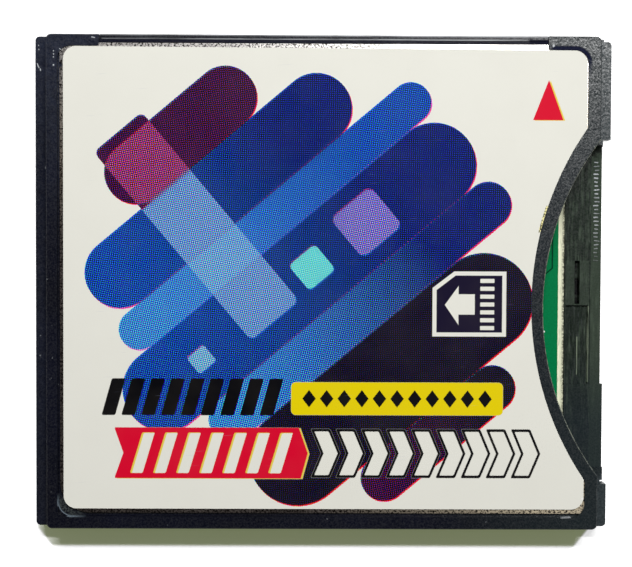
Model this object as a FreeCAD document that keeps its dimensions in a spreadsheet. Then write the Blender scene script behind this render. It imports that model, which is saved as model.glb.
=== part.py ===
"""Memory card adapter: a 50-socket card frame that takes a smaller flat card from its right side.

Millimetres. X runs across the card, Y towards the 50-socket edge, Z up to the labelled face.
The origin is the middle of the underside.
"""
import FreeCAD, Part
import os
import re

import Sketcher

SIZES = [
    # Heights and side steps of the card: its width and length come from what it holds
    ("card_thickness", 3.3),
    ("rail_step", 1.01),
    ("foot_step", 0.57),
    ("rail_top", 2.15),
    ("left_rail_thickness", 1.6),
    ("right_rail_thickness", 0.99),
    ("front_tab_length", 7.45),
    ("front_tab_setback", 0.18),
    ("rear_tab_length", 3.2),
    ("rear_tab_setback", 0.1),
    ("corner_radius", 0.4),
    ("rail_corner_radius", 0.3),
    # Moulded frames
    ("rim_width", 0.84),
    ("right_rim_width", 0.96),
    ("rear_rim_width", 0.92),
    ("shelf_width", 0.6),
    ("corner_block_width", 3.9),
    ("left_block_depth", 0.84),
    ("right_block_depth", 1.0),
    ("block_end_radius", 0.2),
    ("opening_radius", 1.0),
    ("rear_left_radius", 0.45),
    ("edge_break", 0.08),
    ("boss_side", 2.6),
    ("peg_radius", 0.5),
    ("peg_height", 0.5),
    ("peg_inset", 1.3),
    ("guide_wall", 0.4),
    ("fit_gap", 0.05),
    ("cut_margin", 1.0),
    # Finger notch and its rib
    ("notch_radius", 20.58),
    ("notch_depth", 4.16),
    ("rib_width", 0.88),
    ("rib_radius", 22.94),
    ("rib_offset", 0.3),
    ("rib_lip", 0.4),
    # Sheet metal covers and label
    ("cover_thickness", 0.2),
    ("cover_grip", 0.3),
    ("cover_left_gap", 0.17),
    ("cover_rear_gap", 0.27),
    ("cover_corner_radius", 2.2),
    ("foot_grip", 0.4),
    ("hook_depth", 0.5),
    ("hook_width", 1.6),
    ("hook_pitch", 8.0),
    ("hooks_along_side", 4),
    ("hooks_along_rear", 4),
    ("cover_notch_width", 0.36),
    ("cover_notch_depth", 0.35),
    ("cover_notch_inset", 1.42),
    ("label_thickness", 0.1),
    ("label_left_gap", 0.44),
    ("label_right_gap", 0.08),
    ("label_front_gap", 0.88),
    ("label_rear_gap", 0.59),
    ("label_skew", 0.16),
    ("label_corner_radius", 0.95),
    # Slot for the smaller card, which is 24 wide and goes in 32 deep
    ("small_card_width", 24.0),
    ("slot_side_gap", 0.2),
    ("slot_floor_gap", 0.05),
    # Bays round the slot
    ("switch_bay", 3.28),
    ("tail_bay", 2.0),
    ("component_bay", 5.69),
    # Lower jaw of the slot
    ("jaw_width", 3.05),
    ("jaw_setback", 0.2),
    ("jaw_step_inset", 7.35),
    ("jaw_line_inset", 1.04),
    ("lead_in_drop", 0.28),
    ("jaw_slot_width", 0.38),
    ("jaw_slot_length", 3.29),
    ("jaw_slot_depth", 0.4),
    ("jaw_slot_inset", 2.06),
    ("jaw_slot_front", 8.66),
    ("jaw_recess_width", 1.7),
    ("jaw_recess_length", 6.0),
    ("jaw_recess_depth", 0.22),
    ("jaw_recess_front", 12.05),
    ("jaw_recess_margin", 0.17),
    ("jaw_ridge_radius", 0.2),
    ("jaw_ridge_drop", 0.12),
    ("jaw_ridge_pitch", 0.58),
    # Circuit board
    ("film_thickness", 0.05),
    ("board_thickness", 0.4),
    ("board_gap", 0.12),
    # Socket connector
    ("pin_columns", 25),
    ("pin_pitch", 1.27),
    ("row_pitch", 1.27),
    ("connector_depth", 5.8),
    ("connector_end_wall", 1.2),
    ("connector_lip", 0.57),
    ("lip_drop", 0.06),
    ("ear_width", 1.1),
    ("ear_length", 3.0),
    ("socket_side", 0.62),
    ("socket_rear_wall", 0.8),
    ("lead_in_side", 0.86),
    ("lead_in_depth", 0.12),
    ("contact_width", 0.4),
    ("fork_thickness", 0.1),
    ("fork_gap", 0.22),
    ("fork_inset", 0.7),
    ("fork_end_gap", 0.3),
    ("stem_thickness", 0.15),
    ("lower_tail_reach", 0.3),
    ("tail_gap", 0.1),
    ("foot_length", 0.4),
    # Contacts for the smaller card
    ("card_contacts", 9),
    ("end_contact_margin", 2.0),
    ("card_contact_width", 0.8),
    ("strip_thickness", 0.15),
    ("carrier_width", 2.2),
    ("switch_block_length", 3.5),
    ("switch_block_height", 1.75),
    ("key_side", 3.6),
    ("tail_length", 0.6),
    ("groove_height", 0.45),
    ("strip_height", 0.22),
    ("arm_start", 1.9),
    ("arm_crest", 3.2),
    ("arm_tip", 4.6),
    ("crest_height", 0.95),
    ("tip_height", 0.6),
    ("post_radius", 0.45),
    ("post_inset", 3.0),
    # Switches that the smaller card pushes
    ("switch_thickness", 0.12),
    ("switch_height", 0.5),
    ("switch_level", 0.2),
    ("switch_level_step", 0.7),
    ("switch_anchor", 1.2),
    ("switch_line_gap", 0.75),
    ("switch_anvil_gap", 0.7),
    ("switch_bump", 1.1),
    ("detect_length", 3.6),
    ("protect_length", 8.2),
    ("switch_bump_length", 1.2),
    # Parts on the board
    ("chip_side", 5.0),
    ("chip_height", 0.85),
    ("chip_standoff", 0.02),
    ("chip_offset", -1.5),
    ("terminals_per_side", 8),
    ("terminal_pitch", 0.5),
    ("terminal_width", 0.25),
    ("terminal_length", 0.4),
    ("terminal_height", 0.2),
    ("regulator_length", 2.9),
    ("regulator_width", 1.6),
    ("regulator_height", 1.1),
    ("regulator_offset", -8.3),
    ("lead_width", 0.4),
    ("lead_pitch", 0.95),
    ("lead_reach", 0.6),
    ("lead_thickness", 0.15),
    ("crystal_length", 3.2),
    ("crystal_width", 2.5),
    ("crystal_height", 0.7),
    ("crystal_offset", 4.6),
    ("front_group", 7.6),
    ("rear_group", -4.8),
    ("capacitor_column", -1.4),
    ("resistor_column", 1.2),
    ("capacitor_length", 1.0),
    ("capacitor_width", 0.5),
    ("capacitor_height", 0.5),
    ("resistor_length", 1.0),
    ("resistor_width", 0.5),
    ("resistor_height", 0.35),
]

# Heights
TOP = "card_thickness"
COVER_TOP = "(card_thickness - label_thickness)"
ROOF = "(card_thickness - label_thickness - cover_thickness)"
BOARD_BOTTOM = "(cover_thickness + film_thickness)"
BOARD_TOP = "(cover_thickness + film_thickness + board_thickness)"
SLOT_FLOOR = f"({BOARD_TOP} + slot_floor_gap)"

# Places across the card, from the connector outwards
CONNECTOR_HALF = "((pin_columns - 1) * pin_pitch / 2 + connector_end_wall)"
CONNECTOR_WELL = f"({CONNECTOR_HALF} + fit_gap)"
BODY_HALF = f"({CONNECTOR_WELL} + corner_block_width)"
RAIL_HALF = f"({BODY_HALF} + rail_step)"
FOOT_HALF = f"({RAIL_HALF} - foot_step)"
WELL_HALF = f"({BODY_HALF} - rim_width)"
OPENING_RIGHT = f"({BODY_HALF} - right_rim_width)"
SHELF_HALF = f"({WELL_HALF} - shelf_width)"
EAR_HALF = f"({CONNECTOR_HALF} + ear_width)"
EAR_WELL = f"({EAR_HALF} + fit_gap)"
BOARD_RIGHT = f"({RAIL_HALF} - jaw_width)"
JAW_INNER = f"({BOARD_RIGHT} + fit_gap)"
CARRIER_LEFT = f"(component_bay + tail_length - {WELL_HALF})"
CARD_STOP = f"({CARRIER_LEFT} + carrier_width)"
SWITCH_BLOCK_RIGHT = f"({CARRIER_LEFT} + switch_block_length)"
BOSS_EDGE = f"({WELL_HALF} - boss_side)"

# Places along the card, from the slot outwards
SLOT_WIDTH = "(small_card_width + 2 * slot_side_gap)"
LENGTH = f"(rear_rim_width + switch_bay + {SLOT_WIDTH} + tail_bay + connector_depth)"
FRONT = f"({LENGTH} / 2)"
REAR = f"(-{LENGTH} / 2)"
REAR_INNER = f"({REAR} + rear_rim_width)"
REAR_SHELF = f"({REAR_INNER} + shelf_width)"
LEFT_BLOCK_BACK = f"({FRONT} - left_block_depth)"
RIGHT_BLOCK_BACK = f"({FRONT} - right_block_depth)"
COVER_FRONT = f"({FRONT} - connector_lip - fit_gap)"
CONNECTOR_REAR = f"({FRONT} - connector_depth)"
EAR_FRONT = f"({CONNECTOR_REAR} + ear_length)"
SLOT_REAR = f"({REAR_INNER} + switch_bay)"
SLOT_FRONT = f"({SLOT_REAR} + {SLOT_WIDTH})"
SLOT_MIDDLE = f"({SLOT_REAR} + {SLOT_WIDTH} / 2)"
FRONT_TAB_END = f"({FRONT} - front_tab_length)"
REAR_TAB_END = f"({REAR} + rear_tab_length)"
BOSS_FRONT = f"({REAR_INNER} + boss_side - rear_rim_width)"
CHIP_X = f"(component_bay / 2 - {WELL_HALF})"
CARD_CONTACT_PITCH = "((small_card_width - 2 * end_contact_margin) / (card_contacts - 1))"
NOTCH_X = f"({BODY_HALF} - notch_depth + notch_radius)"
UPPER_TAIL_REACH = "(lower_tail_reach + stem_thickness + foot_length + tail_gap)"
COVER_ARC = "(notch_radius + rib_lip)"
RIB_X = f"({BODY_HALF} - notch_depth - rib_width + rib_radius)"
RIB_Y = f"({SLOT_MIDDLE} + rib_offset)"

# How near two places count as the same, in millimetres
SAME = 1e-4

PLANES = {"across": "XZ_Plane", "along": "YZ_Plane", "flat": "XY_Plane"}

doc = FreeCAD.newDocument("adapter")
sheet = doc.addObject("Spreadsheet::Sheet", "Sizes")
for row, (alias, value) in enumerate(SIZES, start=1):
    sheet.set(f"A{row}", alias)
    sheet.set(f"B{row}", str(value))
    sheet.setAlias(f"B{row}", alias)
doc.recompute()


def bound(expression):
    """The expression with each size's name led by the sheet's."""
    return re.sub(r"[a-z][a-z_]+", lambda word: f"Sizes.{word.group()}", expression)


def size(expression):
    """What the expression comes to, in millimetres."""
    return float(sheet.evalExpression(bound(expression)))


def new_body(label):
    body = doc.addObject("PartDesign::Body", label)
    body.Label = label
    return body


def origin_feature(body, role):
    return next(feature for feature in body.Origin.OriginFeatures if feature.Role == role)


def new_sketch(body, plane="flat", level="0"):
    """A sketch on one of the body's origin planes, moved to a level along that plane's axis."""
    sketch = body.newObject("Sketcher::SketchObject", "sketch")
    sketch.AttachmentSupport = [(origin_feature(body, PLANES[plane]), "")]
    sketch.MapMode = "FlatFace"
    sign = "-" if plane == "across" else ""
    sketch.setExpression("AttachmentOffset.Base.z", bound(f"{sign}({level})"))
    return sketch


def hold(sketch, kind, index, point, expression):
    """Holds a point of the sketch at a signed distance from its origin."""
    number = sketch.addConstraint(Sketcher.Constraint(kind, -1, 1, index, point, size(expression)))
    sketch.setExpression(f"Constraints[{number}]", bound(expression))


def outline(sketch, corners):
    """A closed outline of straight lines, each corner held by its own two sizes."""
    points = [FreeCAD.Vector(size(x), size(y), 0) for x, y in corners]
    first = sketch.GeometryCount
    for start, end in zip(points, points[1:] + points[:1]):
        sketch.addGeometry(Part.LineSegment(start, end))
    for number, (x, y) in enumerate(corners):
        line = first + number
        after = first + (number + 1) % len(corners)
        sketch.addConstraint(Sketcher.Constraint("Coincident", line, 2, after, 1))
        hold(sketch, "DistanceX", line, 1, x)
        hold(sketch, "DistanceY", line, 1, y)


def box_outline(sketch, low_x, high_x, low_y, high_y):
    outline(sketch, [(low_x, low_y), (high_x, low_y), (high_x, high_y), (low_x, high_y)])


def circle(sketch, x, y, radius):
    centre = FreeCAD.Vector(size(x), size(y), 0)
    index = sketch.addGeometry(Part.Circle(centre, FreeCAD.Vector(0, 0, 1), size(radius)))
    hold(sketch, "DistanceX", index, 3, x)
    hold(sketch, "DistanceY", index, 3, y)
    number = sketch.addConstraint(Sketcher.Constraint("Radius", index, size(radius)))
    sketch.setExpression(f"Constraints[{number}]", bound(radius))


def pad(body, sketch, length, back=False, middle=False):
    feature = body.newObject("PartDesign::Pad", "pad")
    feature.Profile = sketch
    feature.setExpression("Length", bound(length))
    feature.Reversed = back
    feature.Midplane = middle
    body.Tip = feature
    doc.recompute()
    return feature


def pocket(body, sketch, depth, back=False):
    before = body.Shape.Volume
    feature = body.newObject("PartDesign::Pocket", "pocket")
    feature.Profile = sketch
    feature.setExpression("Length", bound(depth))
    feature.Reversed = back
    body.Tip = feature
    doc.recompute()
    if not body.Shape.Volume < before:
        raise RuntimeError(f"a pocket of {body.Label} cuts nothing")
    return feature


def pad_box(body, low, high):
    """A block between two corners, each given as three sizes."""
    sketch = new_sketch(body, "flat", low[2])
    box_outline(sketch, low[0], high[0], low[1], high[1])
    return pad(body, sketch, f"{high[2]} - {low[2]}")


def pocket_box(body, low, high):
    sketch = new_sketch(body, "flat", high[2])
    box_outline(sketch, low[0], high[0], low[1], high[1])
    return pocket(body, sketch, f"{high[2]} - {low[2]}")


def repeat(body, features, axis, pitch, count):
    """Copies of some features in a row along one of the body's axes."""
    pattern = body.newObject("PartDesign::LinearPattern", "row")
    pattern.Originals = features
    pattern.Direction = (origin_feature(body, axis), [""])
    pattern.Mode = "Spacing"
    pattern.setExpression("Offset", bound(pitch))
    pattern.setExpression("Occurrences", bound(count))
    body.Tip = pattern
    doc.recompute()
    return pattern


def upright_edges(shape, places):
    """Names of the edges that stand upright at the given places in plan."""
    names = []
    for number, edge in enumerate(shape.Edges, start=1):
        start, end = edge.Vertexes[0].Point, edge.Vertexes[-1].Point
        upright = abs(start.x - end.x) < SAME and abs(start.y - end.y) < SAME
        if upright and any(abs(start.x - x) < SAME and abs(start.y - y) < SAME for x, y in places):
            names.append(f"Edge{number}")
    return names


def round_corners(body, places, radius):
    """Fillets on the upright edges at some places in plan."""
    spots = [(size(x), size(y)) for x, y in places]
    names = upright_edges(body.Shape, spots)
    if not names:
        raise RuntimeError(f"no corner of {body.Label} to round")
    solid = body.Tip
    feature = body.newObject("PartDesign::Fillet", "rounding")
    feature.Base = (solid, names)
    feature.setExpression("Radius", bound(radius))
    body.Tip = feature
    doc.recompute()


def cut_away(label, base, tools):
    """One piece moulded or formed round others: the base less their shapes."""
    tool = tools[0]
    if len(tools) > 1:
        tool = doc.addObject("Part::MultiFuse", f"{label}_inserts")
        tool.Shapes = tools
    cut = doc.addObject("Part::Cut", label)
    cut.Base = base
    cut.Tool = tool
    cut.Label = label
    doc.recompute()
    return cut


def both_sides(x, y):
    return [(f"-{x}", y), (x, y)]


def build_top_cover():
    """Sheet steel cover with the arc of the notch and a row of hooks on two edges."""
    body = new_body("top_cover_plate")
    side = f"({WELL_HALF} - cover_left_gap)"
    rear = f"({REAR_INNER} + cover_rear_gap)"
    right = f"({WELL_HALF} + cover_grip)"
    pad_box(body, (f"-{side}", rear, ROOF), (right, COVER_FRONT, COVER_TOP))
    round_corners(body, [(f"-{side}", rear)], "cover_corner_radius")
    arc = new_sketch(body, "flat", COVER_TOP)
    circle(arc, NOTCH_X, SLOT_MIDDLE, COVER_ARC)
    pocket(body, arc, "cover_thickness")
    notch_front = f"({COVER_FRONT} - cover_notch_inset)"
    pocket_box(
        body,
        (f"-({side} + cut_margin)", f"({notch_front} - cover_notch_width)", ROOF),
        (f"-({WELL_HALF} - cover_notch_depth)", notch_front, COVER_TOP),
    )
    hook_row_side = "((hooks_along_side - 1) * hook_pitch / 2)"
    hook = pad_box(
        body,
        (f"-{side}", f"(-{hook_row_side} - hook_width / 2)", f"({ROOF} - hook_depth)"),
        (f"-({side} - cover_thickness)", f"(-{hook_row_side} + hook_width / 2)", ROOF),
    )
    repeat(body, [hook], "Y_Axis", "hook_pitch", "hooks_along_side")
    hook_row_rear = "((hooks_along_rear - 1) * hook_pitch / 2)"
    hook = pad_box(
        body,
        (f"(-{hook_row_rear} - hook_width / 2)", rear, f"({ROOF} - hook_depth)"),
        (f"(-{hook_row_rear} + hook_width / 2)", f"({rear} + cover_thickness)", ROOF),
    )
    repeat(body, [hook], "X_Axis", "hook_pitch", "hooks_along_rear")
    return body


def build_bottom_cover():
    """Flat sheet steel cover under the board, with hooks up into the lower frame."""
    body = new_body("bottom_cover_plate")
    side = f"({WELL_HALF} + foot_grip)"
    rear = f"({REAR_INNER} - foot_grip)"
    pad_box(body, (f"-{side}", rear, "0"), (side, COVER_FRONT, "cover_thickness"))
    hook_top = "(cover_thickness + hook_depth)"
    hook_row_side = "((hooks_along_side - 1) * hook_pitch / 2)"
    hook = pad_box(
        body,
        (f"-{side}", f"(-{hook_row_side} - hook_width / 2)", "cover_thickness"),
        (f"-({side} - cover_thickness)", f"(-{hook_row_side} + hook_width / 2)", hook_top),
    )
    repeat(body, [hook], "Y_Axis", "hook_pitch", "hooks_along_side")
    hook_row_rear = "((hooks_along_rear - 1) * hook_pitch / 2)"
    hook = pad_box(
        body,
        (f"(-{hook_row_rear} - hook_width / 2)", rear, "cover_thickness"),
        (f"(-{hook_row_rear} + hook_width / 2)", f"({rear} + cover_thickness)", hook_top),
    )
    repeat(body, [hook], "X_Axis", "hook_pitch", "hooks_along_rear")
    round_corners(body, both_sides(side, rear) + both_sides(side, COVER_FRONT), "corner_radius")
    return body


def peg_places():
    peg_x = f"({BODY_HALF} - peg_inset)"
    peg_front = f"({FRONT} - peg_inset)"
    peg_rear = f"({REAR} + peg_inset)"
    return both_sides(peg_x, peg_front) + both_sides(peg_x, peg_rear)


def build_upper_frame(cover):
    """Moulded upper rim: corner blocks, card guides and the rib round the notch."""
    body = new_body("upper_frame_moulding")
    pad_box(body, (f"-{BODY_HALF}", REAR, "rail_top"), (BODY_HALF, FRONT, TOP))
    round_corners(body, both_sides(BODY_HALF, REAR) + both_sides(BODY_HALF, FRONT), "corner_radius")

    recess = new_sketch(body, "flat", TOP)
    outline(recess, [
        (f"-{WELL_HALF}", REAR_INNER),
        (OPENING_RIGHT, REAR_INNER),
        (OPENING_RIGHT, RIGHT_BLOCK_BACK),
        (CONNECTOR_WELL, RIGHT_BLOCK_BACK),
        (CONNECTOR_WELL, f"({FRONT} + cut_margin)"),
        (f"-{CONNECTOR_WELL}", f"({FRONT} + cut_margin)"),
        (f"-{CONNECTOR_WELL}", LEFT_BLOCK_BACK),
        (f"-{WELL_HALF}", LEFT_BLOCK_BACK),
    ])
    pocket(body, recess, f"{TOP} - {ROOF}")
    round_corners(body, [(f"-{WELL_HALF}", REAR_INNER)], "rear_left_radius")
    other_corners = [
        (f"-{WELL_HALF}", LEFT_BLOCK_BACK),
        (OPENING_RIGHT, RIGHT_BLOCK_BACK),
        (OPENING_RIGHT, REAR_INNER),
    ]
    round_corners(body, other_corners, "opening_radius")
    block_ends = [(f"-{CONNECTOR_WELL}", LEFT_BLOCK_BACK), (CONNECTOR_WELL, RIGHT_BLOCK_BACK)]
    round_corners(body, block_ends, "block_end_radius")

    rib = new_sketch(body, "flat", ROOF)
    circle(rib, RIB_X, RIB_Y, "rib_radius")
    circle(rib, NOTCH_X, SLOT_MIDDLE, "notch_radius")
    pad(body, rib, f"{TOP} - {ROOF}")
    beyond = "(rib_radius + cut_margin)"
    pocket_box(
        body,
        (BODY_HALF, f"({RIB_Y} - {beyond})", "rail_top"),
        (f"({RIB_X} + {beyond})", f"({RIB_Y} + {beyond})", TOP),
    )
    notch = new_sketch(body, "flat", TOP)
    circle(notch, NOTCH_X, SLOT_MIDDLE, "notch_radius")
    pocket(body, notch, f"{TOP} - rail_top")

    wells = [
        # the smaller card's space, open to the right
        (CARD_STOP, f"({BODY_HALF} + cut_margin)", SLOT_REAR, SLOT_FRONT),
        # the parts to the left of it
        (f"-{SHELF_HALF}", f"({CARD_STOP} + fit_gap)", BOSS_FRONT, CONNECTOR_REAR),
        # the switches behind it
        (f"-{BOSS_EDGE}", f"({BOARD_RIGHT} - shelf_width)", REAR_SHELF, f"({SLOT_REAR} - guide_wall)"),
        (f"-{BOSS_EDGE}", f"({CARD_STOP} + protect_length)", REAR_SHELF, f"({SLOT_REAR} + fit_gap)"),
        # the connector and its tails
        (f"-{EAR_WELL}", EAR_WELL, f"({SLOT_FRONT} + guide_wall)", f"({EAR_FRONT} + fit_gap)"),
        (f"-{CONNECTOR_WELL}", CONNECTOR_WELL, EAR_FRONT, f"({FRONT} + cut_margin)"),
    ]
    for low_x, high_x, low_y, high_y in wells:
        pocket_box(body, (low_x, low_y, "rail_top"), (high_x, high_y, ROOF))

    guides = [
        (CARD_STOP, EAR_WELL, SLOT_FRONT, f"({SLOT_FRONT} + guide_wall)"),
        (f"({CARD_STOP} + protect_length)", BOARD_RIGHT, f"({SLOT_REAR} - guide_wall)", SLOT_REAR),
    ]
    for low_x, high_x, low_y, high_y in guides:
        pad_box(body, (low_x, low_y, SLOT_FLOOR), (high_x, high_y, "rail_top"))

    holes = new_sketch(body, "flat", "rail_top")
    for x, y in peg_places():
        circle(holes, x, y, "(peg_radius + fit_gap)")
    pocket(body, holes, "peg_height + fit_gap", back=True)
    break_top_edge(body)
    return cut_away("upper_frame", body, [cover])


def break_top_edge(body):
    """A small chamfer round the outer edge of the top face, the notch's arc included."""
    half_width, half_length, top = size(BODY_HALF), size(FRONT), size(TOP)
    corner = size("corner_radius")
    notch_middle = FreeCAD.Vector(size(NOTCH_X), size(SLOT_MIDDLE), top)
    names = []
    for number, edge in enumerate(body.Shape.Edges, start=1):
        box = edge.BoundBox
        middle = edge.valueAt((edge.FirstParameter + edge.LastParameter) / 2)
        on_top = abs(box.ZMin - top) < SAME
        outside = abs(middle.x) > half_width - corner / 2 or abs(middle.y) > half_length - corner / 2
        if on_top and outside and edge.Length > 2 * size("edge_break"):
            straight_side = min(box.XLength, box.YLength) < SAME
            round_corner = max(box.XLength, box.YLength) <= corner + SAME
            if straight_side or round_corner:
                names.append(f"Edge{number}")
        if on_top and abs(middle.distanceToPoint(notch_middle) - size("notch_radius")) < SAME:
            names.append(f"Edge{number}")
    solid = body.Tip
    feature = body.newObject("PartDesign::Chamfer", "edge_break")
    feature.Base = (solid, names)
    feature.setExpression("Size", bound("edge_break"))
    body.Tip = feature
    doc.recompute()


def build_lower_frame(cover):
    """Moulded tray with the side rails and the lower jaw of the slot."""
    body = new_body("lower_frame_moulding")
    pad_box(body, (f"-{FOOT_HALF}", REAR, "0"), (FOOT_HALF, FRONT, "rail_top"))
    left_low = "(rail_top - left_rail_thickness)"
    right_low = "(rail_top - right_rail_thickness)"
    tab_front = f"({FRONT} - front_tab_setback)"
    tab_right = f"({RAIL_HALF} - rear_tab_setback)"
    pad_box(body, (f"-{RAIL_HALF}", REAR, left_low), (f"-{FOOT_HALF}", FRONT, "rail_top"))
    pad_box(body, (FOOT_HALF, FRONT_TAB_END, right_low), (RAIL_HALF, tab_front, "rail_top"))
    pad_box(body, (FOOT_HALF, REAR, right_low), (tab_right, REAR_TAB_END, "rail_top"))
    pad_box(body, (FOOT_HALF, REAR_TAB_END, "cover_thickness"), (RAIL_HALF, FRONT_TAB_END, SLOT_FLOOR))
    rail_corners = [
        (f"-{RAIL_HALF}", REAR),
        (f"-{RAIL_HALF}", FRONT),
        (RAIL_HALF, tab_front),
        (tab_right, REAR),
    ]
    round_corners(body, rail_corners, "rail_corner_radius")

    well = new_sketch(body, "flat", "rail_top")
    outline(well, [
        (f"-{CONNECTOR_WELL}", f"({FRONT} + cut_margin)"),
        (f"-{CONNECTOR_WELL}", f"({EAR_FRONT} + fit_gap)"),
        (f"-{EAR_WELL}", f"({EAR_FRONT} + fit_gap)"),
        (f"-{EAR_WELL}", CONNECTOR_REAR),
        (f"-{WELL_HALF}", CONNECTOR_REAR),
        (f"-{WELL_HALF}", BOSS_FRONT),
        (f"-{BOSS_EDGE}", BOSS_FRONT),
        (f"-{BOSS_EDGE}", REAR_INNER),
        (JAW_INNER, REAR_INNER),
        (JAW_INNER, SLOT_FRONT),
        (EAR_WELL, SLOT_FRONT),
        (EAR_WELL, f"({EAR_FRONT} + fit_gap)"),
        (CONNECTOR_WELL, f"({EAR_FRONT} + fit_gap)"),
        (CONNECTOR_WELL, f"({FRONT} + cut_margin)"),
    ])
    pocket(body, well, "rail_top")

    mouth_right = f"({RAIL_HALF} + cut_margin)"
    pocket_box(
        body,
        (f"({JAW_INNER} - cut_margin)", SLOT_REAR, SLOT_FLOOR),
        (mouth_right, SLOT_FRONT, "rail_top"),
    )
    cut_jaw(body, mouth_right)

    pegs = new_sketch(body, "flat", "rail_top")
    for x, y in peg_places():
        circle(pegs, x, y, "peg_radius")
    pad(body, pegs, "peg_height")
    return cut_away("lower_frame", body, [cover])


def cut_jaw(body, mouth_right):
    """The jaw's set-back front part, lead-in, narrow slot and ridged recess."""
    pocket_box(
        body,
        (f"({RAIL_HALF} - jaw_setback)", f"({REAR_TAB_END} + jaw_step_inset)", "cover_thickness"),
        (mouth_right, f"{FRONT_TAB_END}", SLOT_FLOOR),
    )
    line = f"({RAIL_HALF} - jaw_line_inset)"
    lead_in = new_sketch(body, "across", SLOT_FRONT)
    outline(lead_in, [
        (line, SLOT_FLOOR),
        (RAIL_HALF, f"({SLOT_FLOOR} - lead_in_drop)"),
        (mouth_right, f"({SLOT_FLOOR} - lead_in_drop)"),
        (mouth_right, f"({SLOT_FLOOR} + fit_gap)"),
        (line, f"({SLOT_FLOOR} + fit_gap)"),
    ])
    pocket(body, lead_in, f"{SLOT_FRONT} - {SLOT_REAR}", back=True)
    slot_middle = f"({RAIL_HALF} - jaw_slot_inset)"
    slot_front = f"({SLOT_FRONT} - jaw_slot_front)"
    pocket_box(
        body,
        (
            f"({slot_middle} - jaw_slot_width / 2)",
            f"({slot_front} - jaw_slot_length)",
            f"({SLOT_FLOOR} - jaw_slot_depth)",
        ),
        (f"({slot_middle} + jaw_slot_width / 2)", slot_front, SLOT_FLOOR),
    )
    recess_front = f"({SLOT_FRONT} - jaw_recess_front)"
    recess_right = f"({line} - jaw_recess_margin)"
    recess_floor = f"({SLOT_FLOOR} - jaw_recess_depth)"
    pocket_box(
        body,
        (f"({recess_right} - jaw_recess_width)", f"({recess_front} - jaw_recess_length)", recess_floor),
        (recess_right, recess_front, SLOT_FLOOR),
    )
    ridges = new_sketch(body, "across", recess_front)
    for side in (-1, 1):
        middle = f"({recess_right} - jaw_recess_width / 2 + {side} * jaw_ridge_pitch / 2)"
        circle(ridges, middle, f"({recess_floor} - jaw_ridge_drop)", "jaw_ridge_radius")
    pad(body, ridges, "jaw_recess_length")


def build_label():
    """Thin printed sticker on the top cover, cut away round the rib."""
    body = new_body("label")
    left = f"(label_left_gap - {WELL_HALF})"
    right = f"({OPENING_RIGHT} - label_right_gap)"
    rear = f"({REAR_INNER} + label_rear_gap)"
    front = f"({FRONT} - label_front_gap)"
    corners = [(left, rear), (right, rear), (right, f"({front} - label_skew)"), (left, front)]
    sketch = new_sketch(body, "flat", COVER_TOP)
    outline(sketch, corners)
    pad(body, sketch, "label_thickness")
    round_corners(body, corners, "label_corner_radius")
    arc = new_sketch(body, "flat", TOP)
    circle(arc, RIB_X, RIB_Y, "rib_radius")
    pocket(body, arc, "label_thickness")
    return body


def build_board():
    """Circuit board, with its bare right edge in the notch and two holes for the carrier's posts."""
    body = new_body("circuit_board")
    left = f"-({WELL_HALF} - board_gap)"
    rear = f"({REAR_INNER} + board_gap)"
    front = f"({CONNECTOR_REAR} - board_gap)"
    sketch = new_sketch(body, "flat", BOARD_BOTTOM)
    outline(sketch, [
        (left, front),
        (left, f"({BOSS_FRONT} + board_gap)"),
        (f"-({BOSS_EDGE} - board_gap)", f"({BOSS_FRONT} + board_gap)"),
        (f"-({BOSS_EDGE} - board_gap)", rear),
        (BOARD_RIGHT, rear),
        (BOARD_RIGHT, f"({SLOT_FRONT} - board_gap)"),
        (f"({EAR_WELL} - board_gap)", f"({SLOT_FRONT} - board_gap)"),
        (f"({EAR_WELL} - board_gap)", front),
    ])
    pad(body, sketch, "board_thickness")
    holes = new_sketch(body, "flat", BOARD_TOP)
    for x, y in post_places():
        circle(holes, x, y, "(post_radius + fit_gap)")
    pocket(body, holes, "board_thickness")
    return body


def build_film():
    """Insulating film between the board and the bottom cover."""
    body = new_body("insulating_film")
    low = (f"-({BOSS_EDGE} - board_gap)", f"({REAR_INNER} + board_gap)", "cover_thickness")
    high = (f"({EAR_WELL} - board_gap)", f"({SLOT_FRONT} - board_gap)", BOARD_BOTTOM)
    pad_box(body, low, high)
    return body


def build_connector():
    """Connector block with two rows of sockets, a front lip and an ear at each end."""
    body = new_body("connector_block")
    block_top = f"({ROOF} - fit_gap)"
    lip_back = f"({FRONT} - connector_lip)"
    pad_box(
        body,
        (f"-{CONNECTOR_HALF}", CONNECTOR_REAR, BOARD_BOTTOM),
        (CONNECTOR_HALF, FRONT, block_top),
    )
    pad_box(
        body,
        (f"-{CONNECTOR_HALF}", lip_back, "0"),
        (CONNECTOR_HALF, FRONT, f"({TOP} - lip_drop)"),
    )
    for low_x, high_x in ((f"-{EAR_HALF}", f"-{CONNECTOR_HALF}"), (CONNECTOR_HALF, EAR_HALF)):
        pad_box(body, (low_x, CONNECTOR_REAR, BOARD_BOTTOM), (high_x, EAR_FRONT, block_top))

    holes = [
        ("lead_in_side", "lead_in_side", "lead_in_depth"),
        ("socket_side", "socket_side", "(connector_depth - socket_rear_wall)"),
        ("(contact_width + fit_gap)", "(stem_thickness + fit_gap)", "connector_depth"),
    ]
    features = []
    for width, height, depth in holes:
        sketch = new_sketch(body, "across", FRONT)
        for row in (-1, 1):
            level = row_level(row)
            box_outline(
                sketch,
                f"({first_column()} - {width} / 2)",
                f"({first_column()} + {width} / 2)",
                f"({level} - {height} / 2)",
                f"({level} + {height} / 2)",
            )
        features.append(pocket(body, sketch, depth, back=True))
    repeat(body, features, "X_Axis", "pin_pitch", "pin_columns")
    return body


def first_column():
    return "(-(pin_columns - 1) * pin_pitch / 2)"


def row_level(row):
    return f"(card_thickness / 2 + {row} * row_pitch / 2)"


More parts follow.
